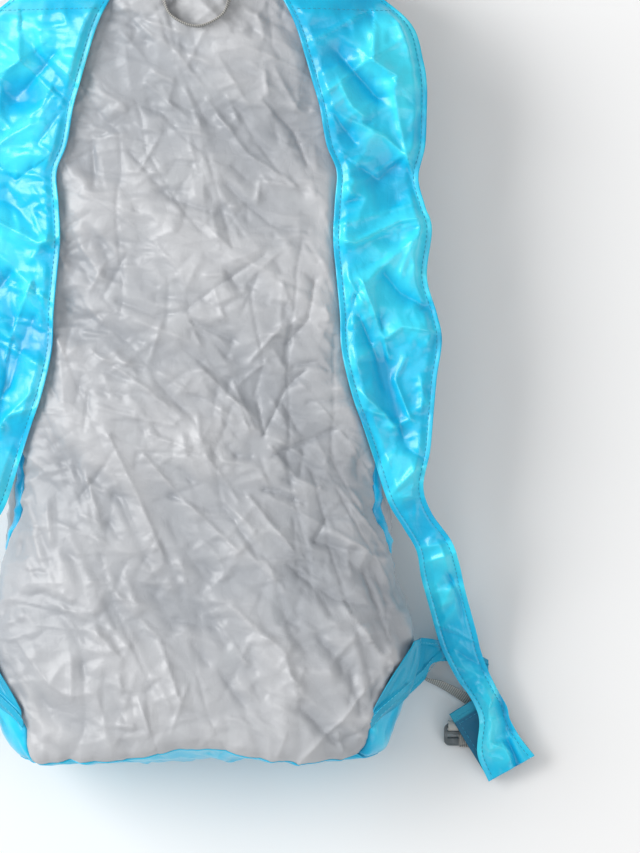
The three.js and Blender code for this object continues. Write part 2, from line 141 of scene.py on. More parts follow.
def random_creases(x, y, seed, count, lean, tall):
    """The sum of many short pinched folds at random places, most of them near one lean, in radians."""
    rng = np.random.default_rng(seed)
    height = np.zeros_like(x)
    for _ in range(count):
        at_x, at_y = rng.uniform(x.min(), x.max()), rng.uniform(y.min(), y.max())
        turn, half = lean + rng.normal(0, 0.55), rng.uniform(6, 19)
        reach_x, reach_y = half * math.cos(turn), half * math.sin(turn)
        line = ((at_x - reach_x, at_y - reach_y), (at_x + reach_x, at_y + reach_y))
        near = (np.abs(x - at_x) < half + 8) & (np.abs(y - at_y) < half + 8)
        size = rng.choice([-0.8, 1.0]) * tall * rng.uniform(0.5, 1.2)
        height[near] += crease(x[near], y[near], line, size, rng.uniform(1.2, 2.6))
    return height


def line_gap(x, y, points):
    """The distance from each place to the nearest point of a line of several parts, negative on its right."""
    nearest = np.full(np.broadcast(x, y).shape, 1e9)
    for (x1, y1), (x2, y2) in zip(points[:-1], points[1:]):
        run_x, run_y = x2 - x1, y2 - y1
        share = np.clip(((x - x1) * run_x + (y - y1) * run_y) / (run_x ** 2 + run_y ** 2), 0, 1)
        gap_x, gap_y = x - x1 - share * run_x, y - y1 - share * run_y
        gap = np.copysign(np.hypot(gap_x, gap_y), run_x * gap_y - run_y * gap_x)
        nearest = np.where(np.abs(gap) < np.abs(nearest), gap, nearest)
    return nearest


def folds(x, y, paths, tall=1.0):
    """Pinched folds along paths of (points, height, width on the left, width on the right)."""
    height = np.zeros_like(x)
    for points, rise_here, left, right in paths:
        gap = line_gap(x, y, points)
        height += tall * rise_here * np.exp(-np.abs(gap) / np.where(gap > 0, left, right))
    return height


# ---- Meshes from grids ----

def grid_quads(rows, cols, start=0, flip=False):
    """The quads of a grid of points listed row by row."""
    index = start + np.arange(rows * cols).reshape(rows, cols)
    quads = np.stack([index[:-1, :-1], index[:-1, 1:], index[1:, 1:], index[1:, :-1]], -1).reshape(-1, 4)
    return quads[:, ::-1] if flip else quads


def mesh_object(name, points, faces, material, uv=None):
    """One mesh object from points in millimetres; uv is one pair for each point, in metres of cloth."""
    mesh = bpy.data.meshes.new(name)
    mesh.from_pydata((points * MM).tolist(), [], faces)
    if uv is not None:
        layer = mesh.uv_layers.new(name="cloth")
        corners = np.empty(len(mesh.loops), dtype=np.int32)
        mesh.loops.foreach_get("vertex_index", corners)
        layer.data.foreach_set("uv", np.asarray(uv, np.float32)[corners].ravel())
    mesh.polygons.foreach_set("use_smooth", np.full(len(mesh.polygons), True))
    mesh.materials.append(material)
    mesh.update()
    piece = bpy.data.objects.new(name, mesh)
    bpy.context.scene.collection.objects.link(piece)
    return piece


def surface(name, points, material, uv=None, flip=False, thick=0.0, relief=None):
    """A grid of shape (rows, cols, 3) as an object, with a wall of the given thickness behind it."""
    rows, cols, _ = points.shape
    flat_uv = None if uv is None else uv.reshape(-1, 2)
    faces = grid_quads(rows, cols, flip=flip).tolist()
    piece = mesh_object(name, points.reshape(-1, 3), faces, material, flat_uv)
    if relief is not None:
        store_relief(piece, relief.ravel())
    if thick:
        wall = piece.modifiers.new("wall", "SOLIDIFY")
        wall.thickness, wall.offset = thick * MM, -1.0
    return piece


def store_relief(piece, values):
    """Keeps how high each point of a crumpled cloth stands, from -1 to 1, for its material, which paints
    shade in the low places and a highlight on the high ones.
    """
    piece.data.attributes.new("relief", "FLOAT", "POINT").data.foreach_set("value", np.clip(values, -1, 1))


def tube(name, rings, material, uv=None, relief=None):
    """A closed skin through rings of shape (along, around, 3), with its two ends closed by fans."""
    along, around, _ = rings.shape
    index = np.arange(along * around).reshape(along, around)
    index = np.concatenate([index, index[:, :1]], 1)
    quads = np.stack([index[:-1, :-1], index[:-1, 1:], index[1:, 1:], index[1:, :-1]], -1).reshape(-1, 4)
    points = np.concatenate([rings.reshape(-1, 3), rings[[0, -1]].mean(1)])
    faces = quads.tolist()
    for ring, tip, turned in ((index[0], along * around, True), (index[-1], along * around + 1, False)):
        for a, b in zip(ring[:-1], ring[1:]):
            faces.append([int(b), int(a), tip] if turned else [int(a), int(b), tip])
    flat_uv = None
    if uv is not None:
        flat_uv = np.concatenate([uv.reshape(-1, 2), uv[[0, -1]].mean(1)])
    piece = mesh_object(name, points, faces, material, flat_uv)
    turn_outwards(piece)
    if relief is not None:
        store_relief(piece, np.concatenate([relief.ravel(), [0.0, 0.0]]))
    return piece


def turn_outwards(piece):
    """Recalculates a closed mesh's faces so that they point out."""
    cells = bmesh.new()
    cells.from_mesh(piece.data)
    bmesh.ops.recalc_face_normals(cells, faces=cells.faces)
    cells.to_mesh(piece.data)
    cells.free()


def unit(vectors):
    """Vectors over their lengths."""
    return vectors / np.maximum(np.linalg.norm(vectors, axis=-1, keepdims=True), 1e-9)


def spline(points, steps):
    """A Catmull-Rom curve through the points, sampled at steps places spread evenly by control point."""
    knots = np.asarray(points, float)
    padded = np.concatenate([2 * knots[:1] - knots[1:2], knots, 2 * knots[-1:] - knots[-2:-1]])
    place = np.linspace(0, len(knots) - 1, steps)
    i = np.minimum(place.astype(int), len(knots) - 2)
    t = (place - i)[:, None]
    p0, p1, p2, p3 = (padded[i + k] for k in range(4))
    return 0.5 * (2 * p1 + (p2 - p0) * t + (2 * p0 - 5 * p1 + 4 * p2 - p3) * t ** 2
                  + (3 * p1 - p0 - 3 * p2 + p3) * t ** 3)


def normals_of(points):
    """Unit normals of a grid of points, from its differences along rows and columns."""
    return unit(np.cross(np.gradient(points, axis=1), np.gradient(points, axis=0)))


# ---- Repeated small pieces: stitches, zip teeth ----

def bead(length, width, thick, around=6, rings=5):
    """A small rounded bar along X: rings of an oval whose radius follows a half circle towards both ends."""
    t = np.linspace(-1, 1, rings)
    radius = np.sqrt(np.maximum(1 - t ** 4, 0.02))
    turn = np.linspace(0, 2 * np.pi, around, endpoint=False)
    x = np.repeat(t[:, None] * length / 2, around, 1)
    y = radius[:, None] * np.cos(turn) * width / 2
    z = radius[:, None] * np.sin(turn) * thick / 2
    points = np.stack([x, y, z], -1).reshape(-1, 3)
    index = np.arange(rings * around).reshape(rings, around)
    index = np.concatenate([index, index[:, :1]], 1)
    quads = np.stack([index[:-1, :-1], index[1:, :-1], index[1:, 1:], index[:-1, 1:]], -1).reshape(-1, 4)
    first, last = np.arange(around), (rings - 1) * around + np.arange(around)
    caps = [[first[0], first[1], first[2], first[3]], [first[0], first[3], first[4], first[5]],
            [last[3], last[2], last[1], last[0]], [last[5], last[4], last[3], last[0]]]
    return points, np.concatenate([quads, np.array(caps)])[:, ::-1]


def scatter(name, shape, centres, forwards, ups, material):
    """Copies of a small shape, its X turned to forwards and its Z to ups, joined as one object."""
    points, quads = shape
    forwards = unit(forwards)
    sides = unit(np.cross(ups, forwards))
    tops = np.cross(forwards, sides)
    placed = (centres[:, None] + points[None, :, :1] * forwards[:, None]
              + points[None, :, 1:2] * sides[:, None] + points[None, :, 2:] * tops[:, None])
    faces = quads[None] + (np.arange(len(centres)) * len(points))[:, None, None]
    return mesh_object(name, placed.reshape(-1, 3), faces.reshape(-1, 4).tolist(), material)


def stitch_line(name, line, ups, material, pitch=STITCH_PITCH, lift=0.12):
    """Stitches at an even pitch along a line of points, lying on the side that ups points to."""
    steps = np.linalg.norm(np.diff(line, axis=0), axis=1)
    run = np.concatenate([[0], np.cumsum(steps)])
    places = np.arange(pitch, run[-1] - pitch / 2, pitch)

    def at(values, where):
        return np.stack([np.interp(where, run, values[:, k]) for k in range(3)], -1)

    centres = at(line, places)
    forwards = at(line, places + 0.4) - at(line, places - 0.4)
    up = unit(at(np.broadcast_to(ups, line.shape), places))
    shape = bead(STITCH_LENGTH, STITCH_THICK, STITCH_THICK)
    return scatter(name, shape, centres + up * lift, forwards, up, material)


# ---- Materials ----

class Value:
    """A shader socket that takes part in Python arithmetic: each operation adds a Math node."""

    def __init__(self, finish, socket):
        self.finish, self.socket = finish, socket

    def math(self, operation, *others):
        """The named operation on this value and the others."""
        return self.finish.node("ShaderNodeMath", {"operation": operation}, [self, *others])

    def __add__(self, other):
        return self.math("ADD", other)

    def __mul__(self, other):
        return self.math("MULTIPLY", other)

    def __sub__(self, other):
        return self.math("SUBTRACT", other)

    def __rsub__(self, other):
        return self.finish.node("ShaderNodeMath", {"operation": "SUBTRACT"}, [other, self])

    __radd__, __rmul__ = __add__, __mul__


class Finish:
    """One material: its nodes, and the shader that they feed."""

    def __init__(self, name, **settings):
        self.material = bpy.data.materials.new(name)
        self.material.use_nodes = True
        self.tree = self.material.node_tree
        self.shader = self.tree.nodes["Principled BSDF"]
        for socket, value in settings.items():
            self.shader.inputs[socket.replace("_", " ")].default_value = value
        self.place = self.node("ShaderNodeTexCoord", output="Object")
        self.cloth = self.node("ShaderNodeUVMap", {"uv_map": "cloth"})

    def node(self, kind, settings=None, inputs=(), output=0):
        """Adds a node: settings first, then the values or links of its sockets, by number or by name."""
        made = self.tree.nodes.new(kind)
        for key, value in (settings or {}).items():
            if key == "stops":
                ramp = made.color_ramp.elements
                while len(ramp) < len(value):
                    ramp.new(0.5)
                for stop, (where, colour) in zip(ramp, value):
                    stop.position, stop.color = where, colour
            else:
                setattr(made, key, value)
        pairs = inputs.items() if isinstance(inputs, dict) else enumerate(inputs)
        for key, value in pairs:
            if isinstance(value, Value):
                self.tree.links.new(value.socket, made.inputs[key])
            else:
                made.inputs[key].default_value = value
        return Value(self, made.outputs[output])

    def noise(self, scale, detail=4.0, roughness=0.55):
        """A noise texture's value at a scale per metre."""
        sockets = {"Vector": self.place, "Scale": scale, "Detail": detail, "Roughness": roughness}
        return self.node("ShaderNodeTexNoise", None, sockets)

    def ramp(self, value, *stops):
        """A value turned into another value or colour by stops of (position, colour)."""
        return self.node("ShaderNodeValToRGB", {"stops": stops}, [value])

    def mix(self, share, a, b):
        """Colour a turned into colour b by share."""
        return self.node("ShaderNodeMix", {"data_type": "RGBA"}, {0: share, 6: a, 7: b}, output=2)

    def bump(self, height, strength, distance, under=None):
        """A normal that a height bends, on top of the normal under it."""
        sockets = {"Strength": strength, "Distance": distance, "Height": height}
        if under is not None:
            sockets["Normal"] = under
        return self.node("ShaderNodeBump", None, sockets)

    def feed(self, **links):
        """Links values to the shader's sockets by name, and returns the finished material."""
        for socket, value in links.items():
            self.tree.links.new(value.socket, self.shader.inputs[socket.replace("_", " ")])
        return self.material


def threads(finish, pitch):
    """Height of a ripstop grid on the cloth's own coordinates: a raised thread each pitch, both ways."""
    split = finish.node("ShaderNodeSeparateXYZ", None, [finish.cloth])
    across = Value(finish, split.socket.node.outputs["X"])
    along = Value(finish, split.socket.node.outputs["Y"])

    def ribs(value, frequency, power):
        """Sharp crests, frequency of them to the metre."""
        return (value * frequency).math("PINGPONG", 0.5).math("MULTIPLY", 2.0).math("POWER", power)

    return ribs(across, 1 / pitch, 14.0).math("MAXIMUM", ribs(along, 1 / pitch, 14.0))


def coated_cloth(name, light, shade, tint, deep, crest_highlight, roughness, coat):
    """Thin coated nylon: drifting colours, painted shade in valleys and a painted highlight on crests, and
    raised threads.
    """
    finish = Finish(name, IOR=1.5, Coat_Roughness=0.28, Sheen_Weight=0.05, Sheen_Roughness=0.4)
    drift = finish.noise(9.0, 3.0)
    patches = finish.noise(42.0, 5.0, 0.6)
    colour = finish.mix(finish.ramp(drift, (0.38, (0, 0, 0, 1)), (0.68, (1, 1, 1, 1))), light, shade)
    worn = finish.ramp(patches, (0.50, (0, 0, 0, 1)), (0.78, (1, 1, 1, 1)))
    colour = finish.mix(worn * 0.35, colour, tint)
    # Painted shade and highlight: the cloth's relief turns its colour towards the deep colour in valleys and
    # the pale one on crests.
    crest_valley_shading = finish.node("ShaderNodeAttribute", {"attribute_name": "relief"}, output=2) * 0.5 + 0.5
    colour = finish.mix(finish.ramp(crest_valley_shading, (0.5, (0, 0, 0, 1)), (1.0, (0.9, 0.9, 0.9, 1))), colour, crest_highlight)
    colour = finish.mix(finish.ramp(crest_valley_shading, (0.0, (0.9, 0.9, 0.9, 1)), (0.5, (0, 0, 0, 1))), colour, deep)
    fine = finish.noise(650.0, 4.0, 0.6)
    crackle = finish.node(
        "ShaderNodeTexVoronoi", {"feature": "DISTANCE_TO_EDGE"},
        {"Vector": finish.node("ShaderNodeVectorMath", {"operation": "ADD"}, [finish.place, finish.node(
            "ShaderNodeVectorMath", {"operation": "SCALE"},
            {0: finish.node("ShaderNodeTexNoise", None, {"Vector": finish.place, "Scale": 60.0}, output=1),
             "Scale": 0.012})]), "Scale": 150.0})
    creased = finish.ramp(crackle, (0.0, (0, 0, 0, 1)), (0.16, (1, 1, 1, 1)))
    normal = finish.bump(threads(finish, 0.0016), 0.16, 0.0001)
    normal = finish.bump(fine, 0.22, 0.00012, normal)
    normal = finish.bump(creased, 0.16, 0.0003, normal)
    rough = patches * 0.22 + (roughness - 0.11)
    return finish.feed(Base_Color=colour, Roughness=rough, Normal=normal, Coat_Weight=worn * coat + coat)


def woven_webbing(name, colour, dark):
    """Ribbed nylon webbing: ribs are in the mesh, the yarns between them are bump, and the colour is painted
    shade in the grooves between ribs, mixed with random fuzz.
    """
    finish = Finish(name, IOR=1.45, Sheen_Weight=0.25, Sheen_Roughness=0.5)
    split = finish.node("ShaderNodeSeparateXYZ", None, [finish.cloth])
    along = Value(finish, split.socket.node.outputs["Y"])
    across = Value(finish, split.socket.node.outputs["X"])
    yarn = (across * 1500.0).math("PINGPONG", 0.5)
    fuzz = finish.noise(900.0, 3.0)
    # Painted shade: the colour darkens towards the dark one in each groove between the mesh's ribs.
    rib = 1.0 - (along * (1000.0 / 1.25)).math("PINGPONG", 0.5) * 2.0
    shade = finish.ramp(rib * 0.8 + fuzz * 0.35, (0.25, (0, 0, 0, 1)), (0.75, (1, 1, 1, 1)))
    normal = finish.bump(yarn, 0.5, 0.0002)
    normal = finish.bump(fuzz, 0.3, 0.0001, normal)
    return finish.feed(Base_Color=finish.mix(shade, dark, colour), Roughness=fuzz * 0.2 + 0.62, Normal=normal)


def moulded_plastic(name, colour, edge):
    """Moulded nylon plastic: fine grain, rubbed lighter here and there."""
    finish = Finish(name, IOR=1.5, Coat_Roughness=0.3)
    grain = finish.noise(1400.0, 3.0)
    rubbed = finish.ramp(finish.noise(180.0, 5.0), (0.5, (0, 0, 0, 1)), (0.75, (1, 1, 1, 1)))
    normal = finish.bump(grain, 0.2, 0.00006)
    colour = finish.mix(rubbed, colour, edge)
    return finish.feed(Base_Color=colour, Roughness=grain * 0.25 + 0.33, Normal=normal)


def lacquered_metal(name, colour, bare):
    """Lacquered die-cast metal, worn to bare metal in specks."""
    finish = Finish(name, IOR=1.5)
    wear = finish.ramp(finish.noise(420.0, 6.0, 0.7), (0.60, (0, 0, 0, 1)), (0.68, (1, 1, 1, 1)))
    normal = finish.bump(finish.noise(800.0, 2.0), 0.15, 0.00005)
    return finish.feed(Base_Color=finish.mix(wear, colour, bare), Metallic=wear * 0.3 + 0.65,
                       Roughness=wear * -0.12 + 0.42, Normal=normal)


def sewing_thread(name, colour, dark):
    """Twisted thread: short slanting bands on a satin yarn."""
    finish = Finish(name, IOR=1.48, Sheen_Weight=0.3)
    twist = finish.noise(1100.0, 2.0)
    shade = finish.ramp(twist, (0.35, (0, 0, 0, 1)), (0.65, (1, 1, 1, 1)))
    return finish.feed(Base_Color=finish.mix(shade, dark, colour), Roughness=twist * 0.3 + 0.4,
                       Normal=finish.bump(twist, 0.4, 0.0001))


# Each cloth's fourth colour is painted shade for its valleys, and its fifth a painted highlight for its
# crests.
GREY = coated_cloth("grey_cloth", (0.47, 0.48, 0.50, 1), (0.38, 0.40, 0.43, 1), (0.50, 0.53, 0.55, 1),
                    (0.33, 0.35, 0.38, 1), (0.53, 0.54, 0.56, 1), 0.42, 0.16)
BLUE = coated_cloth("blue_cloth", (0.006, 0.60, 0.90, 1), (0.001, 0.46, 0.76, 1), (0.02, 0.70, 0.96, 1),
                    (0.001, 0.38, 0.68, 1), (0.06, 0.80, 1.0, 1), 0.32, 0.36)
# The tail's cloth is the blue cloth's reverse side, darkened further as painted shade behind the strap's
# front layer.
REVERSE_IN_SHADE = coated_cloth("blue_cloth_reverse_in_shade", (0.003, 0.17, 0.30, 1), (0.001, 0.12, 0.23, 1),
                       (0.008, 0.23, 0.36, 1), (0.001, 0.09, 0.18, 1), (0.012, 0.36, 0.52, 1), 0.55, 0.02)
# The wing's cloth is a darker copy of the strap blue: painted shade on the wing, which faces away from the
# light.
SHADED_WING_BLUE = coated_cloth("shaded_blue_wing_cloth", (0.004, 0.42, 0.65, 1), (0.001, 0.30, 0.50, 1),
                         (0.012, 0.52, 0.74, 1), (0.001, 0.20, 0.38, 1), (0.03, 0.62, 0.82, 1), 0.42, 0.18)
# The second colour of each webbing is the painted shade in its rib grooves, and its random fuzz.
WEBBING = woven_webbing("grey_webbing", (0.47, 0.46, 0.43, 1), (0.14, 0.14, 0.13, 1))
TAPE = woven_webbing("zip_tape", (0.16, 0.175, 0.19, 1), (0.07, 0.078, 0.086, 1))
PLASTIC = moulded_plastic("moulded_plastic", (0.11, 0.13, 0.14, 1), (0.20, 0.22, 0.23, 1))
METAL = lacquered_metal("slider_metal", (0.10, 0.11, 0.12, 1), (0.55, 0.56, 0.57, 1))
GREY_THREAD = sewing_thread("grey_thread", (0.50, 0.51, 0.53, 1), (0.34, 0.35, 0.37, 1))
PALE_THREAD = sewing_thread("pale_blue_thread", (0.10, 0.62, 0.80, 1), (0.04, 0.44, 0.62, 1))
BLUE_THREAD = sewing_thread("blue_thread", (0.01, 0.42, 0.62, 1), (0.004, 0.27, 0.42, 1))


# ---- The pack's body: one crumpled skin, cut into panels along its seams ----

def edge_drop(y):
    """How far the section shrinks near the ends: a quarter round."""
    run = np.clip((np.abs(y) - HALF_LENGTH + EDGE_RUN) / EDGE_RUN, 0, 1)
    return EDGE_ROUND * (1 - np.sqrt(1 - run * run))


def half_width(y):
    """Half the body's width: straight, with a bell-shaped swell at the hips."""
    return HALF_WIDTH + HIP_SWELL * bump_at(y, HIP_Y, HIP_SPREAD) - edge_drop(y)


def section(angle, y):
    """A squared oval: x = w |cos|^(2/n), z = d |sin|^(2/n), flattened where it lies on the ground."""
    power = 2 / SQUARENESS
    c, s = np.cos(angle), np.sin(angle)
    x = np.sign(c) * np.abs(c) ** power * half_width(y)
    z = AXIS_Z + np.sign(s) * np.abs(s) ** power * (HALF_DEPTH - edge_drop(y))
    return np.stack([x, y + 0 * x, np.maximum(z, 0.35)], -1)


def rise(x, y):
    """Height of the section's top above its axis at a distance x from the middle."""
    share = np.minimum(1, np.abs(x) / half_width(y))
    return (HALF_DEPTH - edge_drop(y)) * (1 - share ** SQUARENESS) ** (1 / SQUARENESS)


PANEL_CREASES = (
    (((-7, 25), (17, 43), (40, 58)), -1.3, 1.8, 1.8), (((-47, 31), (-24, 22), (-7, 25)), -1.2, 1.8, 1.8),
    (((-7, 25), (2, 5)), 1.0, 1.6, 1.6), (((-3, 19), (21, 8)), -1.7, 2.0, 2.0),
    (((50, 16), (32, -5)), 1.3, 1.6, 1.6), (((41, -5), (25, -18)), 1.0, 1.6, 1.6),
    (((70, 44), (66, 20), (54, 6)), -1.4, 1.8, 1.8), (((40, -48), (36, -27)), -1.3, 1.5, 1.5),
    (((40, -48), (53, -21), (65, -10)), -1.6, 2.0, 2.0), (((4, -10), (25, -31), (31, -46)), 1.4, 1.8, 1.8),
    (((-4, -25), (8, -28)), -1.2, 1.5, 1.5), (((-62, 1), (-28, -22)), 1.3, 1.8, 1.8),
    (((45, -61), (64, -53), (84, -45)), -1.7, 1.9, 1.9), (((40, -81), (49, -82), (64, -89)), -1.6, 1.7, 1.7),
    (((31, -85), (43, -100), (58, -118)), 1.6, 2.0, 2.0), (((6, -61), (19, -79), (25, -88)), 1.3, 1.8, 1.8),
    (((-34, -57), (-12, -83), (1, -95), (23, -116)), 1.5, 1.9, 1.9),
    (((-52, -49), (-46, -62), (-35, -85), (-20, -120)), 1.5, 2.0, 2.0),
    (((-33, -59), (-3, -60)), -1.2, 1.8, 1.8), (((-28, -48), (2, -59)), 1.2, 1.7, 1.7),
    (((67, -29), (92, -27)), -1.6, 1.9, 1.9), (((58, -8), (72, -5), (79, -10)), -1.4, 1.7, 1.7),
    (((71, -111), (78, -98), (90, -97)), -1.5, 1.8, 1.8), (((71, -112), (97, -118)), -1.6, 1.8, 1.8),
    (((44, -56), (60, -75), (74, -80)), 1.3, 1.7, 1.7), (((52, -30), (60, -44)), -1.0, 1.4, 1.4),
    (((22, -18), (34, -44)), 1.0, 1.5, 1.5), (((60, -130), (84, -146), (104, -150)), -1.5, 2.0, 2.0),
    (((20, -150), (52, -178), (60, -200)), 1.5, 2.2, 2.2),
    (((62, -205), (84, -222), (102, -214)), -1.7, 2.4, 2.4),
    (((60, -232), (84, -212), (100, -196)), 1.6, 2.2, 2.2),
    (((-50, -140), (-22, -170), (-10, -205)), 1.4, 2.0, 2.0),
    (((-40, 120), (-16, 92), (8, 84)), -1.2, 1.8, 1.8), (((6, 150), (30, 118), (58, 100)), 1.4, 1.9, 1.9),
    (((40, 150), (58, 132), (66, 112)), -1.4, 1.8, 1.8), (((18, 100), (44, 76), (66, 72)), -1.3, 1.8, 1.8),
    (((-30, 160), (-6, 140)), 1.1, 1.7, 1.7), (((104, -130), (112, -150), (118, -172)), -1.6, 2.0, 2.0),
    (((88, -150), (104, -170), (116, -184)), 1.5, 2.0, 2.0),
    (((72, -168), (92, -186), (98, -206)), -1.6, 2.1, 2.1),
)
BACK_LEAN, RELIEF_TALL, GROUND_GAP = -0.62, 3.5, 0.35
BAND = ((103, -222), (109.5, -213.6), (125, -200.6), (136, -192.6), (142, -186), (149, -180.4), (160, -181.5))
BODY_ROWS = 428
SEGMENTS = {"side_right": 48, "stripe_right": 6, "back": 224, "stripe_left": 6, "side_left": 48, "front": 58}


def seam_angles(y):
    """The angle of each seam round the section, in radians, starting under the right side."""
    back = np.interp(y, BACK_SEAM_Y, BACK_SEAM_ANGLE)
    low = np.full_like(back, FRONT_SEAM)
    keys = [low, back - STRIPE_ANGLE, back, 180 - back, 180 - back + STRIPE_ANGLE, 180 - low, 360 + low]
    return np.radians(np.stack(keys, -1))


def end_scallop(x):
    """How far the bottom seam hangs below straight: two soft bells on each side of the middle."""
    x = np.abs(x)
    return 1 + 8.5 * bump_at(x, 60, 26) + 7.0 * bump_at(x, 98, 14)


def body_skin():
    """The whole skin: its grid of points, cloth coordinates, each segment's columns, and relief."""
    y = np.linspace(-HALF_LENGTH, HALF_LENGTH, BODY_ROWS)
    keys = seam_angles(y)
    angles, columns, start = [], {}, 0
    turn = np.linspace(-np.pi / 2, 5 * np.pi / 2, 6001)
    run = np.concatenate([[0], np.cumsum(np.linalg.norm(np.diff(section(turn, 0.0), axis=0), axis=1))])
    marks = np.interp(keys, turn, run)
    for k, (name, count) in enumerate(SEGMENTS.items()):
        share = np.linspace(0, 1, count + 1)[:-1]
        angles.append(np.interp(lerp(marks[:, k:k + 1], marks[:, k + 1:k + 2], share), run, turn))
        columns[name] = (start, start + count)
        start += count
    angles = np.concatenate([*angles, keys[:, -1:]], 1)
    rows = np.repeat(y[:, None], angles.shape[1], 1)
    base = section(angles, rows)
    steps = np.linalg.norm(np.diff(base, axis=1), axis=-1)
    around = np.concatenate([np.zeros((BODY_ROWS, 1)), np.cumsum(steps, 1)], 1)
    around -= around[:, [columns["back"][0] + SEGMENTS["back"] // 2]]
    height = body_crumple(around, rows, angles)
    normal = -normals_of(base)
    lying = smooth((base[..., 2] - 6.3) / 12)
    points = base + normal * (height * lying)[..., None]
    sag = smooth((-rows - 168) / 64) * end_scallop(base[..., 0]) * smooth((base[..., 2] - 8) / 60)
    points[..., 1] -= sag
    points[..., 2] = np.maximum(points[..., 2], GROUND_GAP)
    return points, np.stack([around, rows], -1) * MM, columns, height / RELIEF_TALL


def body_crumple(s, y, angles):
    """Height of the crumpled skin, in millimetres: facets from 62 to 5 mm, ridges, creases and gathers.

    s is the distance round the section from the back's middle, y the place along the pack."""
    across = np.degrees(angles)
    slope = BACK_LEAN
    height = 2.8 * crumple(s, y, 11, 62, 1.3, slope)
    height += 2.5 * crumple(s, y, 23, 31, 1.9, slope + 0.15)
    height += 2.1 * crumple(s, y, 37, 17, 2.2, slope - 0.2)
    height += 1.0 * crumple(s, y, 41, 9, 2.0, slope + 0.5)
    height += 0.62 * crumple(s, y, 53, 5.2, 1.8, slope - 0.6)
    height += 1.4 * ridges(s, y, 67, 32, 2.6, slope, 15) * smooth(crumple(s, y, 71, 55) + 0.6)
    height -= 1.0 * ridges(s, y, 79, 21, 2.8, slope + 0.45, 12)
    height += 0.6 * ridges(s, y, 83, 12, 2.6, slope - 0.5, 7)
    height += random_creases(s, y, 87, 1000, 0.9, 1.5) + random_creases(s, y, 89, 700, -0.5, 0.9)
    height += folds(-s, y, PANEL_CREASES, 1.4)
    seam = np.radians(np.interp(y, BACK_SEAM_Y, BACK_SEAM_ANGLE))
    for edge in (seam, np.pi - seam):
        gap = np.abs(angles - edge) * 88
        gathers = facets(y / 6.5 + facets(y / 19, gap / 21, 5), gap / 34, 91)
        height += 1.5 * gathers * np.exp(-gap / 13) - 1.6 * np.exp(-gap / 3.5)
    end_gap = HALF_LENGTH - np.abs(y)
    height += 1.3 * facets(s / 7 + facets(s / 23, end_gap / 25, 7), end_gap / 30, 97) * np.exp(-end_gap / 12)
    calm = np.where((across > 200) & (across < 340), 0.45, 1.0)
    inner = np.interp(y, [point[1] for point in STRAP_INNER[::-1]], [point[0] for point in STRAP_INNER[::-1]])
    x = section(angles, y)[..., 0]
    under_strap = smooth((np.abs(x) - inner + 6) / 8) * smooth((y + 105) / 30)
    pressed = under_strap * np.where(across < 270, 1.0, 0.0)
    height = lerp(height * calm, np.minimum(height, 1.0) * 0.5 - 0.5, pressed)
    past_seam = np.where(across < 90, smooth((seam - angles) * 9), smooth((angles + seam - np.pi) * 9))
    boot = smooth((BOOT_TOP_Y + 4 - y) / 6) * past_seam
    return height * (1 - 0.65 * boot)


def cut(names, rows):
    """The skin between the first and last of the named segments, within a slice of rows."""
    first, last = COLUMNS[names[0]][0], COLUMNS[names[-1]][1]
    return SKIN[rows, first:last + 1], SKIN_UV[rows, first:last + 1], RELIEF[rows, first:last + 1]


def declare_cut(uv):
    """Measures a panel's cut: its greatest width and length on its cloth coordinates, which nothing uses."""
    widths, lengths = np.abs(uv[:, -1, 0] - uv[:, 0, 0]), np.abs(uv[-1, :, 1] - uv[0, :, 1])


def strip_uv(points):
    """Cloth coordinates of a strip cut straight: even steps as long as the mean ones of its grid."""
    rows, cols = points.shape[:2]
    step_u = np.linalg.norm(np.diff(points, axis=1), axis=-1).mean()
    step_v = np.linalg.norm(np.diff(points, axis=0), axis=-1).mean()
    return np.stack(np.meshgrid(np.arange(cols) * step_u, np.arange(rows) * step_v), -1) * MM


def place(piece, body, slot, *nodes):
    """Puts a finished piece on its body, and hides the CAD nodes that it stands for."""
    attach(piece, body)
    if nodes:
        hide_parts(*nodes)
    return piece


SKIN, SKIN_UV, COLUMNS, RELIEF = body_skin()
BOOT_ROWS = int(round((BOOT_TOP_Y + HALF_LENGTH) / (2 * HALF_LENGTH) * (BODY_ROWS - 1)))


def build_body():
    """The panels of the body, each cut from the one skin so that neighbours share their seam."""
    every, above, below = slice(None), slice(BOOT_ROWS, None), slice(0, BOOT_ROWS + 1)
    points, uv, relief = cut(["back"], every)
    back = surface("back_cloth", points, GREY, uv, flip=True, relief=relief)
    place(back, "pack", "grey_fabric", "back_panel")
    declare_cut(uv)
    points, uv, _ = cut(["front"], every)
    front = surface("front_cloth", points, BLUE, uv, flip=True, thick=CLOTH)
    place(front, "pack", "blue_fabric", "front_panel")
    declare_cut(uv)
    for side in ("left", "right"):
        whole = ["side_right", "stripe_right"] if side == "right" else ["stripe_left", "side_left"]
        for name, names, rows, material, slot in (
            (f"side_panel_{side}", [f"side_{side}"], above, GREY, "grey_fabric"),
            (f"side_stripe_{side}", [f"stripe_{side}"], above, BLUE, "blue_fabric"),
            (f"boot_corner_{side}", whole, below, BLUE, "blue_fabric"),
        ):
            points, uv, relief = cut(names, rows)
            panel = surface(f"{name}_cloth", points, material, uv, flip=True, thick=CLOTH, relief=relief)
            place(panel, "pack", slot, name)
            declare_cut(uv)


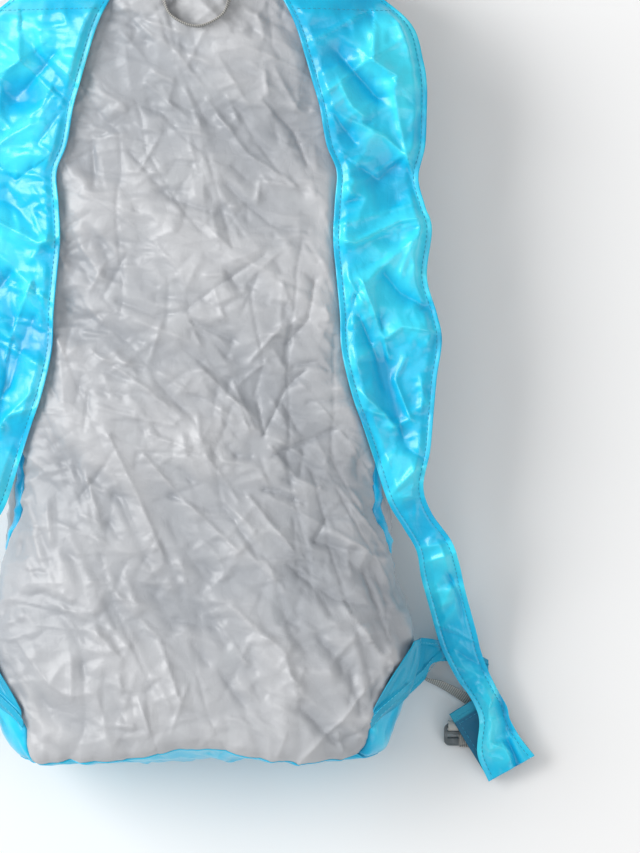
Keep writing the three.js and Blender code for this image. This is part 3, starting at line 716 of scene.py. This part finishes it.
def build_bottom():
    """The bottom panel: rings that shrink from the skin's lowest ring to the middle, bulging a little."""
    ring = SKIN[0, :-1]
    middle = np.array([0, 0, AXIS_Z])
    share = np.concatenate([np.linspace(1, 0.04, 46), [0.012]])[:, None, None]
    points = middle + (ring - middle) * share
    level = ring[:, 1].mean()
    near = smooth((share[..., 0] - 0.55) / 0.45)
    points[..., 1] = level + (ring[:, 1] - level) * near - 3.2 * (1 - share[..., 0] ** 2)
    x, z = points[..., 0], points[..., 2]
    wave = 2.4 * crumple(x, z, 113, 28, 1.6, 0.4) + 1.5 * crumple(x, z, 127, 13, 1.5, 1.1)
    wave += 0.6 * crumple(x, z, 129, 6, 1.5, 0.8) + random_creases(x, z, 133, 60, 0.7, 1.4)
    points[..., 1] += wave * (1 - share[..., 0] ** 6)
    points = np.concatenate([points, points[:, :1]], 1)
    uv = np.stack([points[..., 0], points[..., 2]], -1) * MM
    bottom = surface("bottom_cloth", points, BLUE, uv, flip=True, thick=CLOTH)
    place(bottom, "pack", "blue_fabric", "bottom_panel")


# ---- Mouth: two plates that meet at the zip ----

FLAP_START_X, FLAP_END_X, HINGE_Z, HINGE_ROWS = 74.0, 34.0, 86.0, 10
TAPE_END_X, TAPE_Y, SEWN_Y, TEETH_Y = 106, 234.9, 235.1, 236.0
TEETH_PITCH, TEETH_END_X, TEETH_OFF_Z, ZIP_STITCH_OFF_Z = 1.25, 98.5, 0.75, 7.2
MOUTH_COLUMNS, MOUTH_MIDDLE = 190, 94


def mouth_plate(upper):
    """Vertical lines from the skin's top ring to the zip line, at each of the ring's own columns."""
    ring = SKIN[-1, :-1]
    chosen = ring[ring[:, 2] > ZIP_Z + 0.5] if upper else ring[ring[:, 2] < ZIP_Z - 0.5]
    chosen = chosen[np.argsort(chosen[:, 0])]
    step = np.concatenate([[True], np.diff(chosen[:, 0]) > 0.15])
    chosen = chosen[step]
    x = np.linspace(chosen[0, 0], chosen[-1, 0], MOUTH_COLUMNS)
    rim = np.stack([np.interp(x, chosen[:, 0], chosen[:, k]) for k in range(3)], -1)
    edge_z = ZIP_Z + (0.5 if upper else -0.5)
    fold_z = np.minimum(rim[:, 2] - 1.5, HINGE_Z) if upper else rim[:, 2] + 3
    near, far = np.linspace(0, 1, HINGE_ROWS + 1)[:, None], np.linspace(0, 1, 52)[1:, None]
    z = np.concatenate([lerp(rim[:, 2], fold_z, near), lerp(fold_z, edge_z, far)])
    x = x + 0 * z
    t = np.concatenate([0 * near, far]) + 0 * z
    y = np.concatenate([lerp(rim[:, 1], MOUTH_Y, near), MOUTH_Y + 0 * far * rim[:, 1]])
    wave = 2.0 * crumple(x, z, 131, 26, 1.6, 1.2) + 1.2 * crumple(x, z, 137, 12, 1.6, 0.7)
    wave += 0.5 * crumple(x, z, 138, 6, 1.6, 0.9) + random_creases(x, z, 143, 60, 0.5, 1.3)
    wave += 1.3 * facets(x / 6, z / 30, 139) * np.exp(-t * 4)
    y = y + wave * smooth(t * 5) * smooth((1 - t) * 3)
    return np.stack([x, y, z], -1)


def lift_with_mouth(piece, side, slot, *nodes):
    """Cloth of the flap, from the zip's end towards the middle of the mouth: bakes its transform into its
    mesh and hides the CAD nodes that it stands for.
    """
    start, end = ((side * x * MM, 0.233, 0.06) for x in (FLAP_START_X, FLAP_END_X))
    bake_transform(piece)
    if nodes:
        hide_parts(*nodes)


def zip_teeth(name, up, x, material):
    """A row of coil turns beside the parting line, one at each x."""
    centres = np.stack([x, np.full_like(x, TEETH_Y), np.full_like(x, ZIP_Z + up * TEETH_OFF_Z)], -1)
    return scatter(name, bead(1.9, 0.85, 1.3, 6, 5), centres, np.tile([0.25, 0.0, 1.0], (len(x), 1)),
                   np.tile([0.0, 1.0, 0.0], (len(x), 1)), material)


def build_mouth():
    """The flap above the zip, in two halves that blend onto the mouth, and the face below it."""
    upper = mouth_plate(True)
    rim = upper[:HINGE_ROWS + 1]
    edge = surface("mouth_rim_cloth", rim, GREY, rim[..., [0, 2]] * MM, thick=CLOTH)
    place(edge, "pack", "grey_fabric")
    right_half, left_half = slice(MOUTH_MIDDLE, None), slice(0, MOUTH_MIDDLE + 1)
    for side, word, chosen in ((1, "right", right_half), (-1, "left", left_half)):
        points = upper[HINGE_ROWS:, chosen]
        uv = points[..., [0, 2]] * MM
        flap = surface(f"mouth_flap_cloth_{word}", points, GREY, uv, thick=CLOTH)
        lift_with_mouth(flap, side, "grey_fabric", "mouth_flap", f"mouth_end_{word}")
        declare_cut(uv)
        x = np.linspace(0, side * TAPE_END_X, 126)
        rows = np.array([0.25, 3.0, 6.0, 8.8])[:, None]
        for up, body in ((1, "flap"), (-1, "face")):
            z = ZIP_Z + up * rows + 0 * x
            y = TAPE_Y + 0.25 * np.cos(x / 2.1) * (rows > 5) + 0 * z
            tape = surface(f"zip_tape_{body}_{word}", np.stack([x + 0 * z, y, z], -1), TAPE,
                           np.stack([z, x + 0 * z], -1) * MM, flip=(up * side > 0), thick=0.4)
            teeth_x = np.arange(0.6, TEETH_END_X, TEETH_PITCH) * side + (0.6 if up > 0 else 0)
            teeth = zip_teeth(f"zip_coil_{body}_{word}", up, teeth_x, PLASTIC)
            line = np.stack([x, np.full_like(x, SEWN_Y), np.full_like(x, ZIP_Z + up * ZIP_STITCH_OFF_Z)], -1)
            sewing = stitch_line(f"zip_stitches_{body}_{word}", line, np.array([0, 1.0, 0]), GREY_THREAD)
            if up > 0:
                lift_with_mouth(tape, side, "zip_tape", "zip_tape_flap")
                lift_with_mouth(teeth, side, "dark_plastic", "zip_coil_flap")
                lift_with_mouth(sewing, side, "grey_fabric")
            else:
                place(tape, "pack", "zip_tape", "zip_tape_face", f"zip_end_tape_{word}")
                place(teeth, "pack", "dark_plastic", "zip_coil_face")
                place(sewing, "pack", "grey_fabric")
    lower = mouth_plate(False)
    uv = lower[..., [0, 2]] * MM
    face = surface("mouth_face_cloth", lower, BLUE, uv, flip=True, thick=CLOTH)
    place(face, "pack", "blue_fabric", "mouth_face")
    declare_cut(uv)


# ---- Small hard pieces, from the frame's own shapes with their edges rounded ----

def rounded_copy(node, name, material, radius, body, slot, corner=0.0):
    """A merged copy of a CAD node with bevelled edges and, if asked, rounder corners, standing for it."""
    piece = bpy.data.objects.new(name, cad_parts[node].data.copy())
    bpy.context.scene.collection.objects.link(piece)
    cells = bmesh.new()
    cells.from_mesh(piece.data)
    bmesh.ops.remove_doubles(cells, verts=cells.verts, dist=2e-6)
    bmesh.ops.dissolve_limit(cells, angle_limit=0.02, verts=cells.verts, edges=cells.edges)
    bmesh.ops.recalc_face_normals(cells, faces=cells.faces)
    if corner:
        spots = np.array([vert.co for vert in cells.verts])
        middle = (spots.min(0) + spots.max(0)) / 2
        far, deep = 0.95 * (spots.max(0) - middle)[0], 0.70 * (spots.max(0) - middle)[1]
        uprights = [edge for edge in cells.edges if edge.calc_length() < 3.5 * MM and all(
            abs(vert.co.x - middle[0]) > far and abs(vert.co.y - middle[1]) > deep for vert in edge.verts)]
        bmesh.ops.bevel(cells, geom=uprights, offset=corner * MM, segments=6, profile=0.5, affect="EDGES")
    cells.to_mesh(piece.data)
    cells.free()
    piece.data.materials.clear()
    piece.data.materials.append(material)
    rounding = piece.modifiers.new("rounding", "BEVEL")
    rounding.width, rounding.segments, rounding.limit_method = radius * MM, 3, "ANGLE"
    piece.data.polygons.foreach_set("use_smooth", np.full(len(piece.data.polygons), False))
    return place(piece, body, slot, node)


def build_hardware():
    """The zip's slider, pull and stops, and each side's ladder-lock with the loop that holds it."""
    rounded_copy("zip_slider", "slider_body", METAL, 0.35, "slider", "slider_metal")
    rounded_copy("zip_pull", "slider_pull", METAL, 0.3, "pull", "slider_metal")
    for side in ("left", "right"):
        lock, stop, loop = (f"{piece}_{side}" for piece in ("ladder_lock", "zip_stop", "lock_loop"))
        rounded_copy(lock, f"{lock}_body", PLASTIC, 0.7, f"lock_{side}", "dark_plastic", 3.6)
        rounded_copy(stop, f"{stop}_body", PLASTIC, 0.3, "pack", "dark_plastic")
        rounded_copy(loop, f"{loop}_web", WEBBING, 0.15, f"strap_{side}", "grey_webbing")


# ---- Shoulder straps ----

def strap_height(x, y):
    """Height of a strap's underside: on the back panel at first, then falling away past the pack's side."""
    reach = half_width(y) - STRAP_OVERHANG
    soft = -7.0 * np.log(np.exp(-np.abs(x) / 7.0) + np.exp(-reach / 7.0))
    lying = AXIS_Z + rise(soft, y) + STRAP_LIFT
    fall = smooth((STRAP_LEAVES_Y - y) / (STRAP_LEAVES_Y - STRAP_DOWN_Y))
    ended = smooth((STRAP_DOWN_Y - y) / (STRAP_DOWN_Y - STRAP_END_Y))
    free = lerp(lerp(STRAP_LEAVE_Z, STRAP_LOW_Z, fall), STRAP_FOLD_Z, ended)
    leaving = smooth((STRAP_LEAVES_Y + 24 - y) / 24)
    clear = np.where(np.abs(x) < half_width(y), AXIS_Z + rise(x, y) + STRAP_LIFT, 0)
    return np.maximum(clear, lerp(lying, free, leaving))


STRAP_FOLDS = (
    (((182.2, -204), (185, -216), (187.5, -228)), -3.4, 1.3, 2.4),
    (((143.6, -163.7), (156, -168), (168, -174.4)), 2.2, 3.0, 1.4),
    (((179.6, -202.7), (175.6, -215), (172.7, -237)), 2.4, 1.6, 4.0),
    (((188, -235.6), (194, -248.6)), -2.6, 1.6, 1.6),
    (((158, -181), (170, -188), (177, -197)), -1.8, 2.4, 1.4),
    (((176, -240), (184, -236), (190, -243)), 1.8, 1.4, 2.2),
    (((151, -133), (157, -146), (160, -158)), -2.2, 1.4, 2.6),
    (((84, 178), (97, 163), (107, 152)), -3.4, 5, 5), (((101, 176), (112, 168), (119, 160)), 2.6, 7, 4),
    (((105, 190), (105, 173), (119, 165), (117, 157), (120, 138), (125, 117)), 3.6, 14, 4),
    (((98, 136), (112, 129), (125, 117)), 2.6, 2, 5), (((80, 144), (94, 125)), -1.8, 3, 3),
    (((86, 158), (92, 146), (99, 141)), 2.0, 4, 2), (((124, 117), (108, 103), (98, 110)), -2.6, 6, 3),
    (((83, 68), (94, 65), (111, 74), (121, 79), (139, 81)), 3.8, 7, 2),
    (((139, 76), (128, 67), (114, 55), (101, 42)), 3.6, 4, 9),
    (((98, 43), (104, 29), (111, 9), (114, -3)), 2.6, 2, 3),
    (((111, 48), (121, 36), (140, 26)), -3.4, 6, 6), (((121, 47), (128, 66)), 1.8, 3, 5),
    (((143, 13), (122, 16), (113, 9)), 2.2, 2, 4), (((88, 15), (97, 42)), -2.2, 3, 3),
    (((97, 21), (107, -3), (112, -20)), -2.6, 3, 3), (((109, 20), (114, -16), (123, -51)), -3.4, 5, 5),
    (((118, -16), (127, -39), (116, -44)), 2.6, 3, 3), (((94, -20), (112, -36), (120, -46)), 1.8, 2, 3),
    (((96, -32), (112, -37)), 1.6, 2, 2), (((126, -57), (138, -64)), -2.0, 3, 3),
    (((115, -84), (130, -69), (137, -67)), 2.4, 2, 4), (((134, -20), (140, -38)), 1.4, 3, 3),
    (((134, -116), (152, -113)), 2.2, 3, 5), (((136, -125), (155, -119)), 1.8, 2, 3),
    (((141, -153), (151, -149)), 1.3, 2, 2), (((143, -164), (155, -168), (168, -173)), -2.6, 6, 8),
    (((158, -190), (176, -196)), 1.4, 4, 4), (((180, -204), (176, -213), (174, -238)), 3.2, 6, 7),
    (((182, -205), (186, -217), (190, -229)), -2.6, 1.3, 1.6),
    (((178, -236), (186, -240), (189, -246)), 2.0, 2, 3), (((188, -235), (194, -250)), -2.2, 2, 3),
    (((170, -243), (182, -245)), 1.4, 2, 3), (((120, 196), (126, 180)), 2.0, 4, 4),
)


def strap_grid(along=500, across=62):
    """A strap's top face in plan: rows from the top seam to the fold, columns from inner to outer edge."""
    inner, outer = spline(STRAP_INNER, along), spline(STRAP_OUTER, along)
    share = np.linspace(0, 1, across)[None, :, None]
    return inner[:, None] * (1 - share) + outer[:, None] * share


def strap_wrinkles(plan, seed, width, share):
    """Height of a strap's crumpled cloth, in millimetres: facets, ridges, creases, and gathered hems."""
    x, y = plan[..., 0], plan[..., 1]
    height = 4.4 * crumple(x, y, seed, 34, 1.6, -0.7) + 3.6 * crumple(x, y, seed + 10, 17, 1.8, -0.5)
    height += 1.5 * crumple(x, y, seed + 20, 8, 1.7, -1.0) + 0.5 * crumple(x, y, seed + 30, 4.5, 1.3, 0.4)
    height += 2.0 * ridges(x, y, seed + 40, 24, 2.2, -0.8, 10)
    height += random_creases(x, y, seed + 50, 150, 1.1, 2.0)
    edge = np.minimum(share, 1 - share) * width
    gathers = facets(y / 5.5 + facets(y / 17, edge / 20, seed + 3), edge / 26, seed + 5)
    height += 1.5 * gathers * np.exp(-edge / 9)
    return height


def strap_skin(side, seed):
    """The strap as rings over its top and back underneath, with its cloth coordinates, top and relief."""
    plan = strap_grid()
    along, across, _ = plan.shape
    share = np.linspace(0, 1, across)[None, :]
    width = np.linalg.norm(plan[:, -1] - plan[:, 0], axis=-1)[:, None]
    under = strap_height(plan[..., 0], plan[..., 1])
    edge = np.minimum(share, 1 - share) * width
    inside = smooth((edge - HEM) / 5)
    wrinkles = strap_wrinkles(plan, seed, width, share)
    slender = np.clip(width / 60, 0.45, 1)
    waves = wrinkles * np.maximum(slender, 0.65) + folds(plan[..., 0], plan[..., 1], STRAP_FOLDS, 1.6)
    raised = 1.2 + 3.2 * slender * inside + waves * (0.4 + 0.6 * inside)
    top = under + 1.1 + 0.8 * np.log1p(np.exp(raised / 0.8))
    top -= 0.5 * np.exp(-((edge - HEM) / 0.7) ** 2)
    sewn = smooth((plan[..., 1] - 200) / 12)
    under = under - sewn * 1.4
    top = lerp(top, under + 1.0, sewn)
    bottom = np.maximum(under + 0.2, top - 3.2)
    upper = np.concatenate([plan, top[..., None]], -1)
    lower = np.concatenate([plan, bottom[..., None]], -1)[:, ::-1][:, ::3]
    rings = np.concatenate([upper, lower], 1)
    rings[..., 0] *= side
    run = np.concatenate([[0], np.cumsum(np.linalg.norm(np.diff(plan[:, across // 2], axis=0), axis=1))])
    u = np.concatenate([share * width, (share * width)[:, ::-1][:, ::3]], 1)
    uv = np.stack([u, np.repeat(run[:, None], u.shape[1], 1)], -1) * MM
    upper[..., 0] *= side
    # The folds' heights go to the material, which paints shade in their valleys and a highlight on their
    # crests.
    crest_valley_shading = waves / 5
    return rings, uv, upper, np.concatenate([crest_valley_shading, crest_valley_shading[:, ::-1][:, ::3]], 1)


def build_strap(side, word, seed):
    """A shoulder strap, sewn flat at its top seam, with its rows of stitches; its transform is baked into its
    mesh.
    """
    rings, uv, upper, relief = strap_skin(side, seed)
    strap = tube(f"shoulder_strap_cloth_{word}", rings, BLUE, uv, relief)
    top_uv = uv[:, :upper.shape[1]]
    declare_cut(top_uv)
    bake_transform(strap)
    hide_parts(f"shoulder_strap_{word}")
    normal = normals_of(upper)
    normal *= np.sign(normal[..., 2:])
    for row in (4, 11):
        sewing = stitch_line(f"strap_seam_{row}_{word}", upper[row, 3:-3], np.array([0, 0, 1.0]), BLUE_THREAD)
        place(sewing, "pack", "blue_fabric")
    width = np.linalg.norm(upper[:, -1] - upper[:, 0], axis=-1)
    for edge, from_inner in (("inner", True), ("outer", False)):
        share = HEM / width
        share = share if from_inner else 1 - share
        column = share * (upper.shape[1] - 1)
        low = column.astype(int)
        part = (column - low)[:, None]
        rows = np.arange(len(upper))
        line = upper[rows, low] * (1 - part) + upper[rows, low + 1] * part
        sewing = stitch_line(f"strap_stitches_{edge}_{word}", line, normal[rows, low], BLUE_THREAD)
        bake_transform(sewing)


# ---- The strap's folded end, the wing and the webbing ----

TAIL_CORNERS = ((152, -219, 12.6), (173, -206, 12.8), (203.5, -243.5, 7.8), (176.5, -259.5, 7.6))
WING_TOP = (
    (103.5, -220.5), (106, -211), (112, -200), (120, -187.5), (128, -176), (132, -171.3), (145, -173),
    (160, -177), (176, -186),
)
WING_LOW = (
    (104, -223), (110, -217), (117, -212.5), (123, -208), (130, -202.5), (137, -196), (142, -187),
    (158, -187), (176, -193),
)
WING_FOLDS = (
    (((131, -174), (128, -186), (124, -197)), -2.4, 1.6, 1.6), (((134, -174), (132, -186)), 1.6, 1.6, 3.0),
    (((138, -176), (136, -188)), -1.6, 1.6, 1.6), (((122, -188), (114, -203)), -1.4, 1.4, 1.4),
)
WING_ROOT_X, WING_TIP_X, WING_ROOT_Z, WING_TIP_Z = 118.0, 176.0, 66.0, 7.5
WING_CLEAR, WING_LIFT = 3, 2.5


def cloth_tab(name, plan, height, material, thick, side, relief=None):
    """A double layer of cloth: a grid in plan lifted to its height."""
    points = np.concatenate([plan, height[..., None]], -1)
    points[..., 0] *= side
    uv = strip_uv(points)
    tab = surface(name, points, material, uv, flip=side > 0, thick=thick, relief=relief)
    declare_cut(uv)
    return tab


def build_tail(side, word, seed):
    """The strap's end, folded under and back, its hem sewn across."""
    a, b, c, d = (np.array(corner, float) for corner in TAIL_CORNERS)
    v = np.linspace(0, 1, 60)[:, None, None]
    u = np.linspace(0, 1, 40)[None, :, None]
    grid = lerp(lerp(a, b, u), lerp(d, c, u), v)
    x, y = grid[..., 0], grid[..., 1]
    wave = 0.9 * crumple(x, y, seed, 13, 1.5, 0.9) + 0.4 * crumple(x, y, seed + 4, 6, 1.4, 0.2)
    hem = smooth((7 - v[..., 0] * 50) / 1.5) + 0 * x
    height = grid[..., 2] + wave * 1.1 * (1 - v[..., 0] ** 4) + 0.5 * hem
    # The hem goes to the material as relief, so the hem is painted paler: a painted highlight on the raised
    # hem.
    tail = cloth_tab(f"strap_tail_cloth_{word}", grid[..., :2], height, REVERSE_IN_SHADE, 1.1, side, hem)
    place(tail, f"strap_{word}", "blue_fabric", f"strap_tail_{word}")
    points = np.stack([x * side, y, height], -1)
    up = np.array([0.0, 0.0, 1.0])
    for row, count in ((5, "first"), (10, "second")):
        sewing = stitch_line(f"tail_stitches_{count}_{word}", points[row, 2:-2], up, BLUE_THREAD)
        place(sewing, f"strap_{word}", "blue_fabric")
    sewing = stitch_line(f"tail_stitches_side_{word}", points[3:-3, 4], up, BLUE_THREAD)
    place(sewing, f"strap_{word}", "blue_fabric")


def wing_height(x, y):
    """The wing lies clear of the boot's corner, then falls to the ground as a parabola."""
    away = np.clip((x - WING_ROOT_X) / (WING_TIP_X - WING_ROOT_X), 0, 1)
    falling = WING_TIP_Z + (WING_ROOT_Z - WING_TIP_Z) * (1 - away) ** 2
    inward = x - WING_CLEAR
    on_boot = np.where(inward < half_width(y), AXIS_Z + rise(inward, y) + WING_LIFT, 0)
    return np.maximum(falling * (x > WING_ROOT_X), on_boot)


def draped(cloth, line, side):
    """A line in plan moved in height onto the nearest places of a cloth's grid of points."""
    flat = cloth.reshape(-1, 3)
    line = line * [side, 1]
    gaps = ((flat[None, :, :2] - line[:, None]) ** 2).sum(-1)
    nearest = np.argpartition(gaps, 3, axis=1)[:, :3]
    weight = 1 / (np.take_along_axis(gaps, nearest, 1) + 0.05)
    height = (flat[nearest, 2] * weight).sum(1) / weight.sum(1)
    return np.concatenate([line, height[:, None]], 1)


def offset_line(points, distance, steps=160):
    """A smooth line through the points, moved sideways by a distance."""
    line = spline(points, steps)
    ahead = unit(np.gradient(line, axis=0))
    return line + np.stack([-ahead[:, 1], ahead[:, 0]], -1) * distance


def build_wing(side, word, seed):
    """The wing from the boot's seam to the adjuster, with a hem along its top and a doubled band below."""
    along, across = 150, 64
    top, low = spline(WING_TOP, along), spline(WING_LOW, along)
    share = np.linspace(0, 1, across)[None, :, None]
    plan = low[:, None] * (1 - share) + top[:, None] * share
    x, y = plan[..., 0], plan[..., 1]
    width = np.linalg.norm(top - low, axis=-1)[:, None]
    edge = np.minimum(share[..., 0], 1 - share[..., 0]) * width
    band = np.abs(line_gap(x, y, BAND))
    waves = 1.5 * crumple(x, y, seed, 15, 1.7, 0.5) + 0.7 * crumple(x, y, seed + 5, 7, 1.5, 0.1)
    waves += folds(x, y, WING_FOLDS)
    waves *= smooth((band - 1) / 3) * smooth(edge / 5)
    doubled = 1.1 * smooth((2.5 - band) / 0.8) - 0.7 * np.exp(-((band - 3.2) / 0.8) ** 2)
    height = wing_height(x, y) + waves + doubled
    top_gap = (1 - share[..., 0]) * width
    free = smooth((x - 129) / 5)
    height += free * (0.5 * smooth((3.4 - top_gap) / 0.6) - 0.4 * np.exp(-((top_gap - 3.9) / 0.5) ** 2))
    # The wing's darker blue paints the shade on it.
    wing = cloth_tab(f"wing_cloth_{word}", plan, height, SHADED_WING_BLUE, 0.9, side)
    place(wing, "pack", "blue_fabric", f"wing_{word}")
    cloth = np.stack([x * side, y, height], -1)
    up = np.array([0.0, 0.0, 1.0])
    for distance, count in ((1.55, "upper"), (-1.55, "lower")):
        line = draped(cloth, offset_line(BAND, distance)[2:118], side)
        place(stitch_line(f"band_stitches_{count}_{word}", line, up, PALE_THREAD), "pack", "blue_fabric")
    hem = draped(cloth, offset_line(WING_TOP[5:], -2.6)[2:-2], side)
    place(stitch_line(f"wing_stitches_{word}", hem, up, PALE_THREAD), "pack", "blue_fabric")


WEB_WIDTH, WEB_THICK, RIB_PITCH = 9.8, 1.15, 1.25
ADJUSTER_ROUTE = (
    (170, -184, 4), (158, -181, 6), (146, -182.5, 8), (137, -187, 9), (133.5, -192.5, 9.5),
    (138, -197.5, 9), (146, -200.4, 8.4), (155, -205.0, 7.6), (163, -209.8, 6.6), (173, -216, 4.6),
    (176, -226, 2.6), (169, -234, 2.8), (158, -234.5, 3.2),
)
ADJUSTER_STAND = (0, 0.5, 1, 1, 1, 0.9, 0.72, 0.64, 0.56, 0.3, 0, 0, 0)
END_ROUTE = ((158, -233, 5.4), (168, -233, 5.2), (181, -235, 4.8), (192, -239, 4.4))
HAUL_ROUTE = ((-20, 231, 97), (-20.5, 224, 99.5), (-20, 212, 100.6), (-15, 200, 101.2), (0, 193.5, 101.4),
              (15, 200, 101.2), (20, 212, 100.6), (20.5, 224, 99.5), (20, 231, 97))
HAUL_STAND = (0.2, 0.5, 0.9, 1, 1, 1, 0.9, 0.5, 0.2)


def webbing(name, route, stand, side, width=WEB_WIDTH, thick=WEB_THICK):
    """Flat ribbed webbing along a route, as rings. Stand turns it from flat, 0, to on edge, 1."""
    path = spline(route, 40 * (len(route) - 1))
    path[:, 0] *= side
    run = np.concatenate([[0], np.cumsum(np.linalg.norm(np.diff(path, axis=0), axis=1))])
    places = np.arange(0, run[-1], RIB_PITCH / 4)
    centre = np.stack([np.interp(places, run, path[:, k]) for k in range(3)], -1)
    steps = np.linspace(0, len(stand) - 1, len(run))
    turn = np.interp(places, run, np.interp(steps, np.arange(len(stand)), stand)) * np.pi / 2
    tangent = unit(np.gradient(centre, axis=0))
    flat = unit(np.stack([-tangent[:, 1], tangent[:, 0], 0 * tangent[:, 0]], -1)) * side
    upright = np.array([0.0, 0.0, 1.0])
    wide = flat * np.cos(turn)[:, None] + upright * np.sin(turn)[:, None]
    normal = unit(np.cross(tangent, wide))
    rib = 1 + 0.28 * np.cos(2 * np.pi * places / RIB_PITCH)
    u = np.concatenate([np.linspace(-1, 1, 9), np.linspace(1, -1, 9)])
    face = np.concatenate([np.ones(9), -np.ones(9)]) * np.sqrt(np.maximum(1 - np.abs(u) ** 8, 0.25))
    rings = (centre[:, None] + wide[:, None] * (u * width / 2)[None, :, None]
             + normal[:, None] * (face[None, :] * rib[:, None] * thick / 2)[..., None])
    uv = np.stack(np.broadcast_arrays((u * width / 2)[None, :], places[:, None]), -1) * MM
    return tube(name, rings, WEBBING, uv)


def build_adjuster(side, word):
    """The adjuster's webbing from the wing to the strap, and its loose end."""
    web = webbing(f"adjuster_web_{word}", ADJUSTER_ROUTE, ADJUSTER_STAND, side)
    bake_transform(web)
    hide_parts(f"adjuster_webbing_{word}")
    loose = webbing(f"adjuster_end_web_{word}", END_ROUTE, (0, 0, 0, 0), side)
    place(loose, f"strap_{word}", "grey_webbing", f"adjuster_end_{word}")


def build_haul_loop():
    """A grab loop of the same webbing at the top of the back panel."""
    loop = webbing("haul_loop_web", HAUL_ROUTE, HAUL_STAND, 1)
    place(loop, "haul", "grey_webbing", "haul_loop")


def build_pouch():
    """The flat inner pouch: a patch of grey cloth on the front panel's inside, with a hem at its mouth."""
    low, high = (np.array(corner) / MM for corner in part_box("stuff_pouch"))
    x, y = np.meshgrid(np.linspace(low[0], high[0], 70), np.linspace(low[1], high[1], 80))
    edge = np.minimum.reduce([x - low[0], high[0] - x, y - low[1], high[1] - y])
    z = low[2] + 0.9 + (0.7 * crumple(x, y, 151, 16, 1.5, 0.8) + 0.5) * smooth(edge / 8)
    z += 0.5 * (high[1] - y < 9) - 0.25 * np.exp(-(high[1] - y - 9) ** 2)
    points = np.stack([x, y, np.maximum(z, low[2])], -1)
    pouch = surface("stuff_pouch_cloth", points, GREY, np.stack([x, y], -1) * MM, thick=0.4)
    place(pouch, "pack", "grey_fabric", "stuff_pouch")
    line = np.stack([x[-8], y[-8], z[-8] + 0.1], -1)
    up = np.array([0.0, 0.0, 1.0])
    place(stitch_line("pouch_stitches", line, up, GREY_THREAD), "pack", "grey_fabric")


# ---- The room ----

CAMERA_X, CAMERA_Y, FOCUS_Z, DISTANCE = 73.2, -43.5, 60.0, 3000.0
VIEW_HEIGHT, SENSOR_HEIGHT = 511.8, 24.0
LIGHT_TARGET = (0.05, -0.02, 0.05)
LIGHTS = (("key", (-2.9, 0.9, 2.5), 2.6, 138), ("top", (0.1, 0.2, 3.6), 3.0, 28),
          ("fill", (2.2, -1.8, 2.0), 2.6, 30))


def build_room():
    """A pale floor, a soft key from the left with top and fill lights, and a camera straight above."""
    span = 4.0
    floor = bpy.data.meshes.new("ground")
    corners = [(-span, -span, 0), (span, -span, 0), (span, span, 0), (-span, span, 0)]
    floor.from_pydata(corners, [], [(0, 1, 2, 3)])
    ground = bpy.data.objects.new("ground", floor)
    bpy.context.scene.collection.objects.link(ground)
    paint = Finish("ground_paint", Roughness=0.9)
    paint.shader.inputs["Base Color"].default_value = (0.90, 0.90, 0.90, 1)
    floor.materials.append(paint.material)
    for name, at, size, power in LIGHTS:
        lamp = bpy.data.lights.new(name, "AREA")
        lamp.size, lamp.energy = size, power
        light = bpy.data.objects.new(name, lamp)
        light.location = at
        x, y, z = np.array(LIGHT_TARGET) - np.array(at)
        light.rotation_euler = (math.atan2(math.hypot(x, y), -z), 0, math.atan2(-x, y))
        bpy.context.scene.collection.objects.link(light)
    world = bpy.data.worlds.new("studio")
    bpy.context.scene.world = world
    world.use_nodes = True
    world.node_tree.nodes["Background"].inputs["Color"].default_value = (1, 1, 1, 1)
    world.node_tree.nodes["Background"].inputs["Strength"].default_value = 0.31
    lens = bpy.data.cameras.new("camera")
    lens.sensor_fit, lens.sensor_height = "VERTICAL", SENSOR_HEIGHT
    lens.lens = SENSOR_HEIGHT * DISTANCE / VIEW_HEIGHT
    lens.clip_end = 20.0
    camera = bpy.data.objects.new("camera", lens)
    camera.location = (CAMERA_X * MM, CAMERA_Y * MM, (FOCUS_Z + DISTANCE) * MM)
    bpy.context.scene.collection.objects.link(camera)
    bpy.context.scene.camera = camera
    bpy.context.scene.view_settings.view_transform = "Standard"


build_room()
build_body()
build_bottom()
build_mouth()
build_hardware()
build_haul_loop()
build_pouch()
for side, word, seed in ((1, "right", 201), (-1, "left", 307)):
    build_strap(side, word, seed)
    build_tail(side, word, seed + 60)
    build_wing(side, word, seed + 70)
    build_adjuster(side, word)
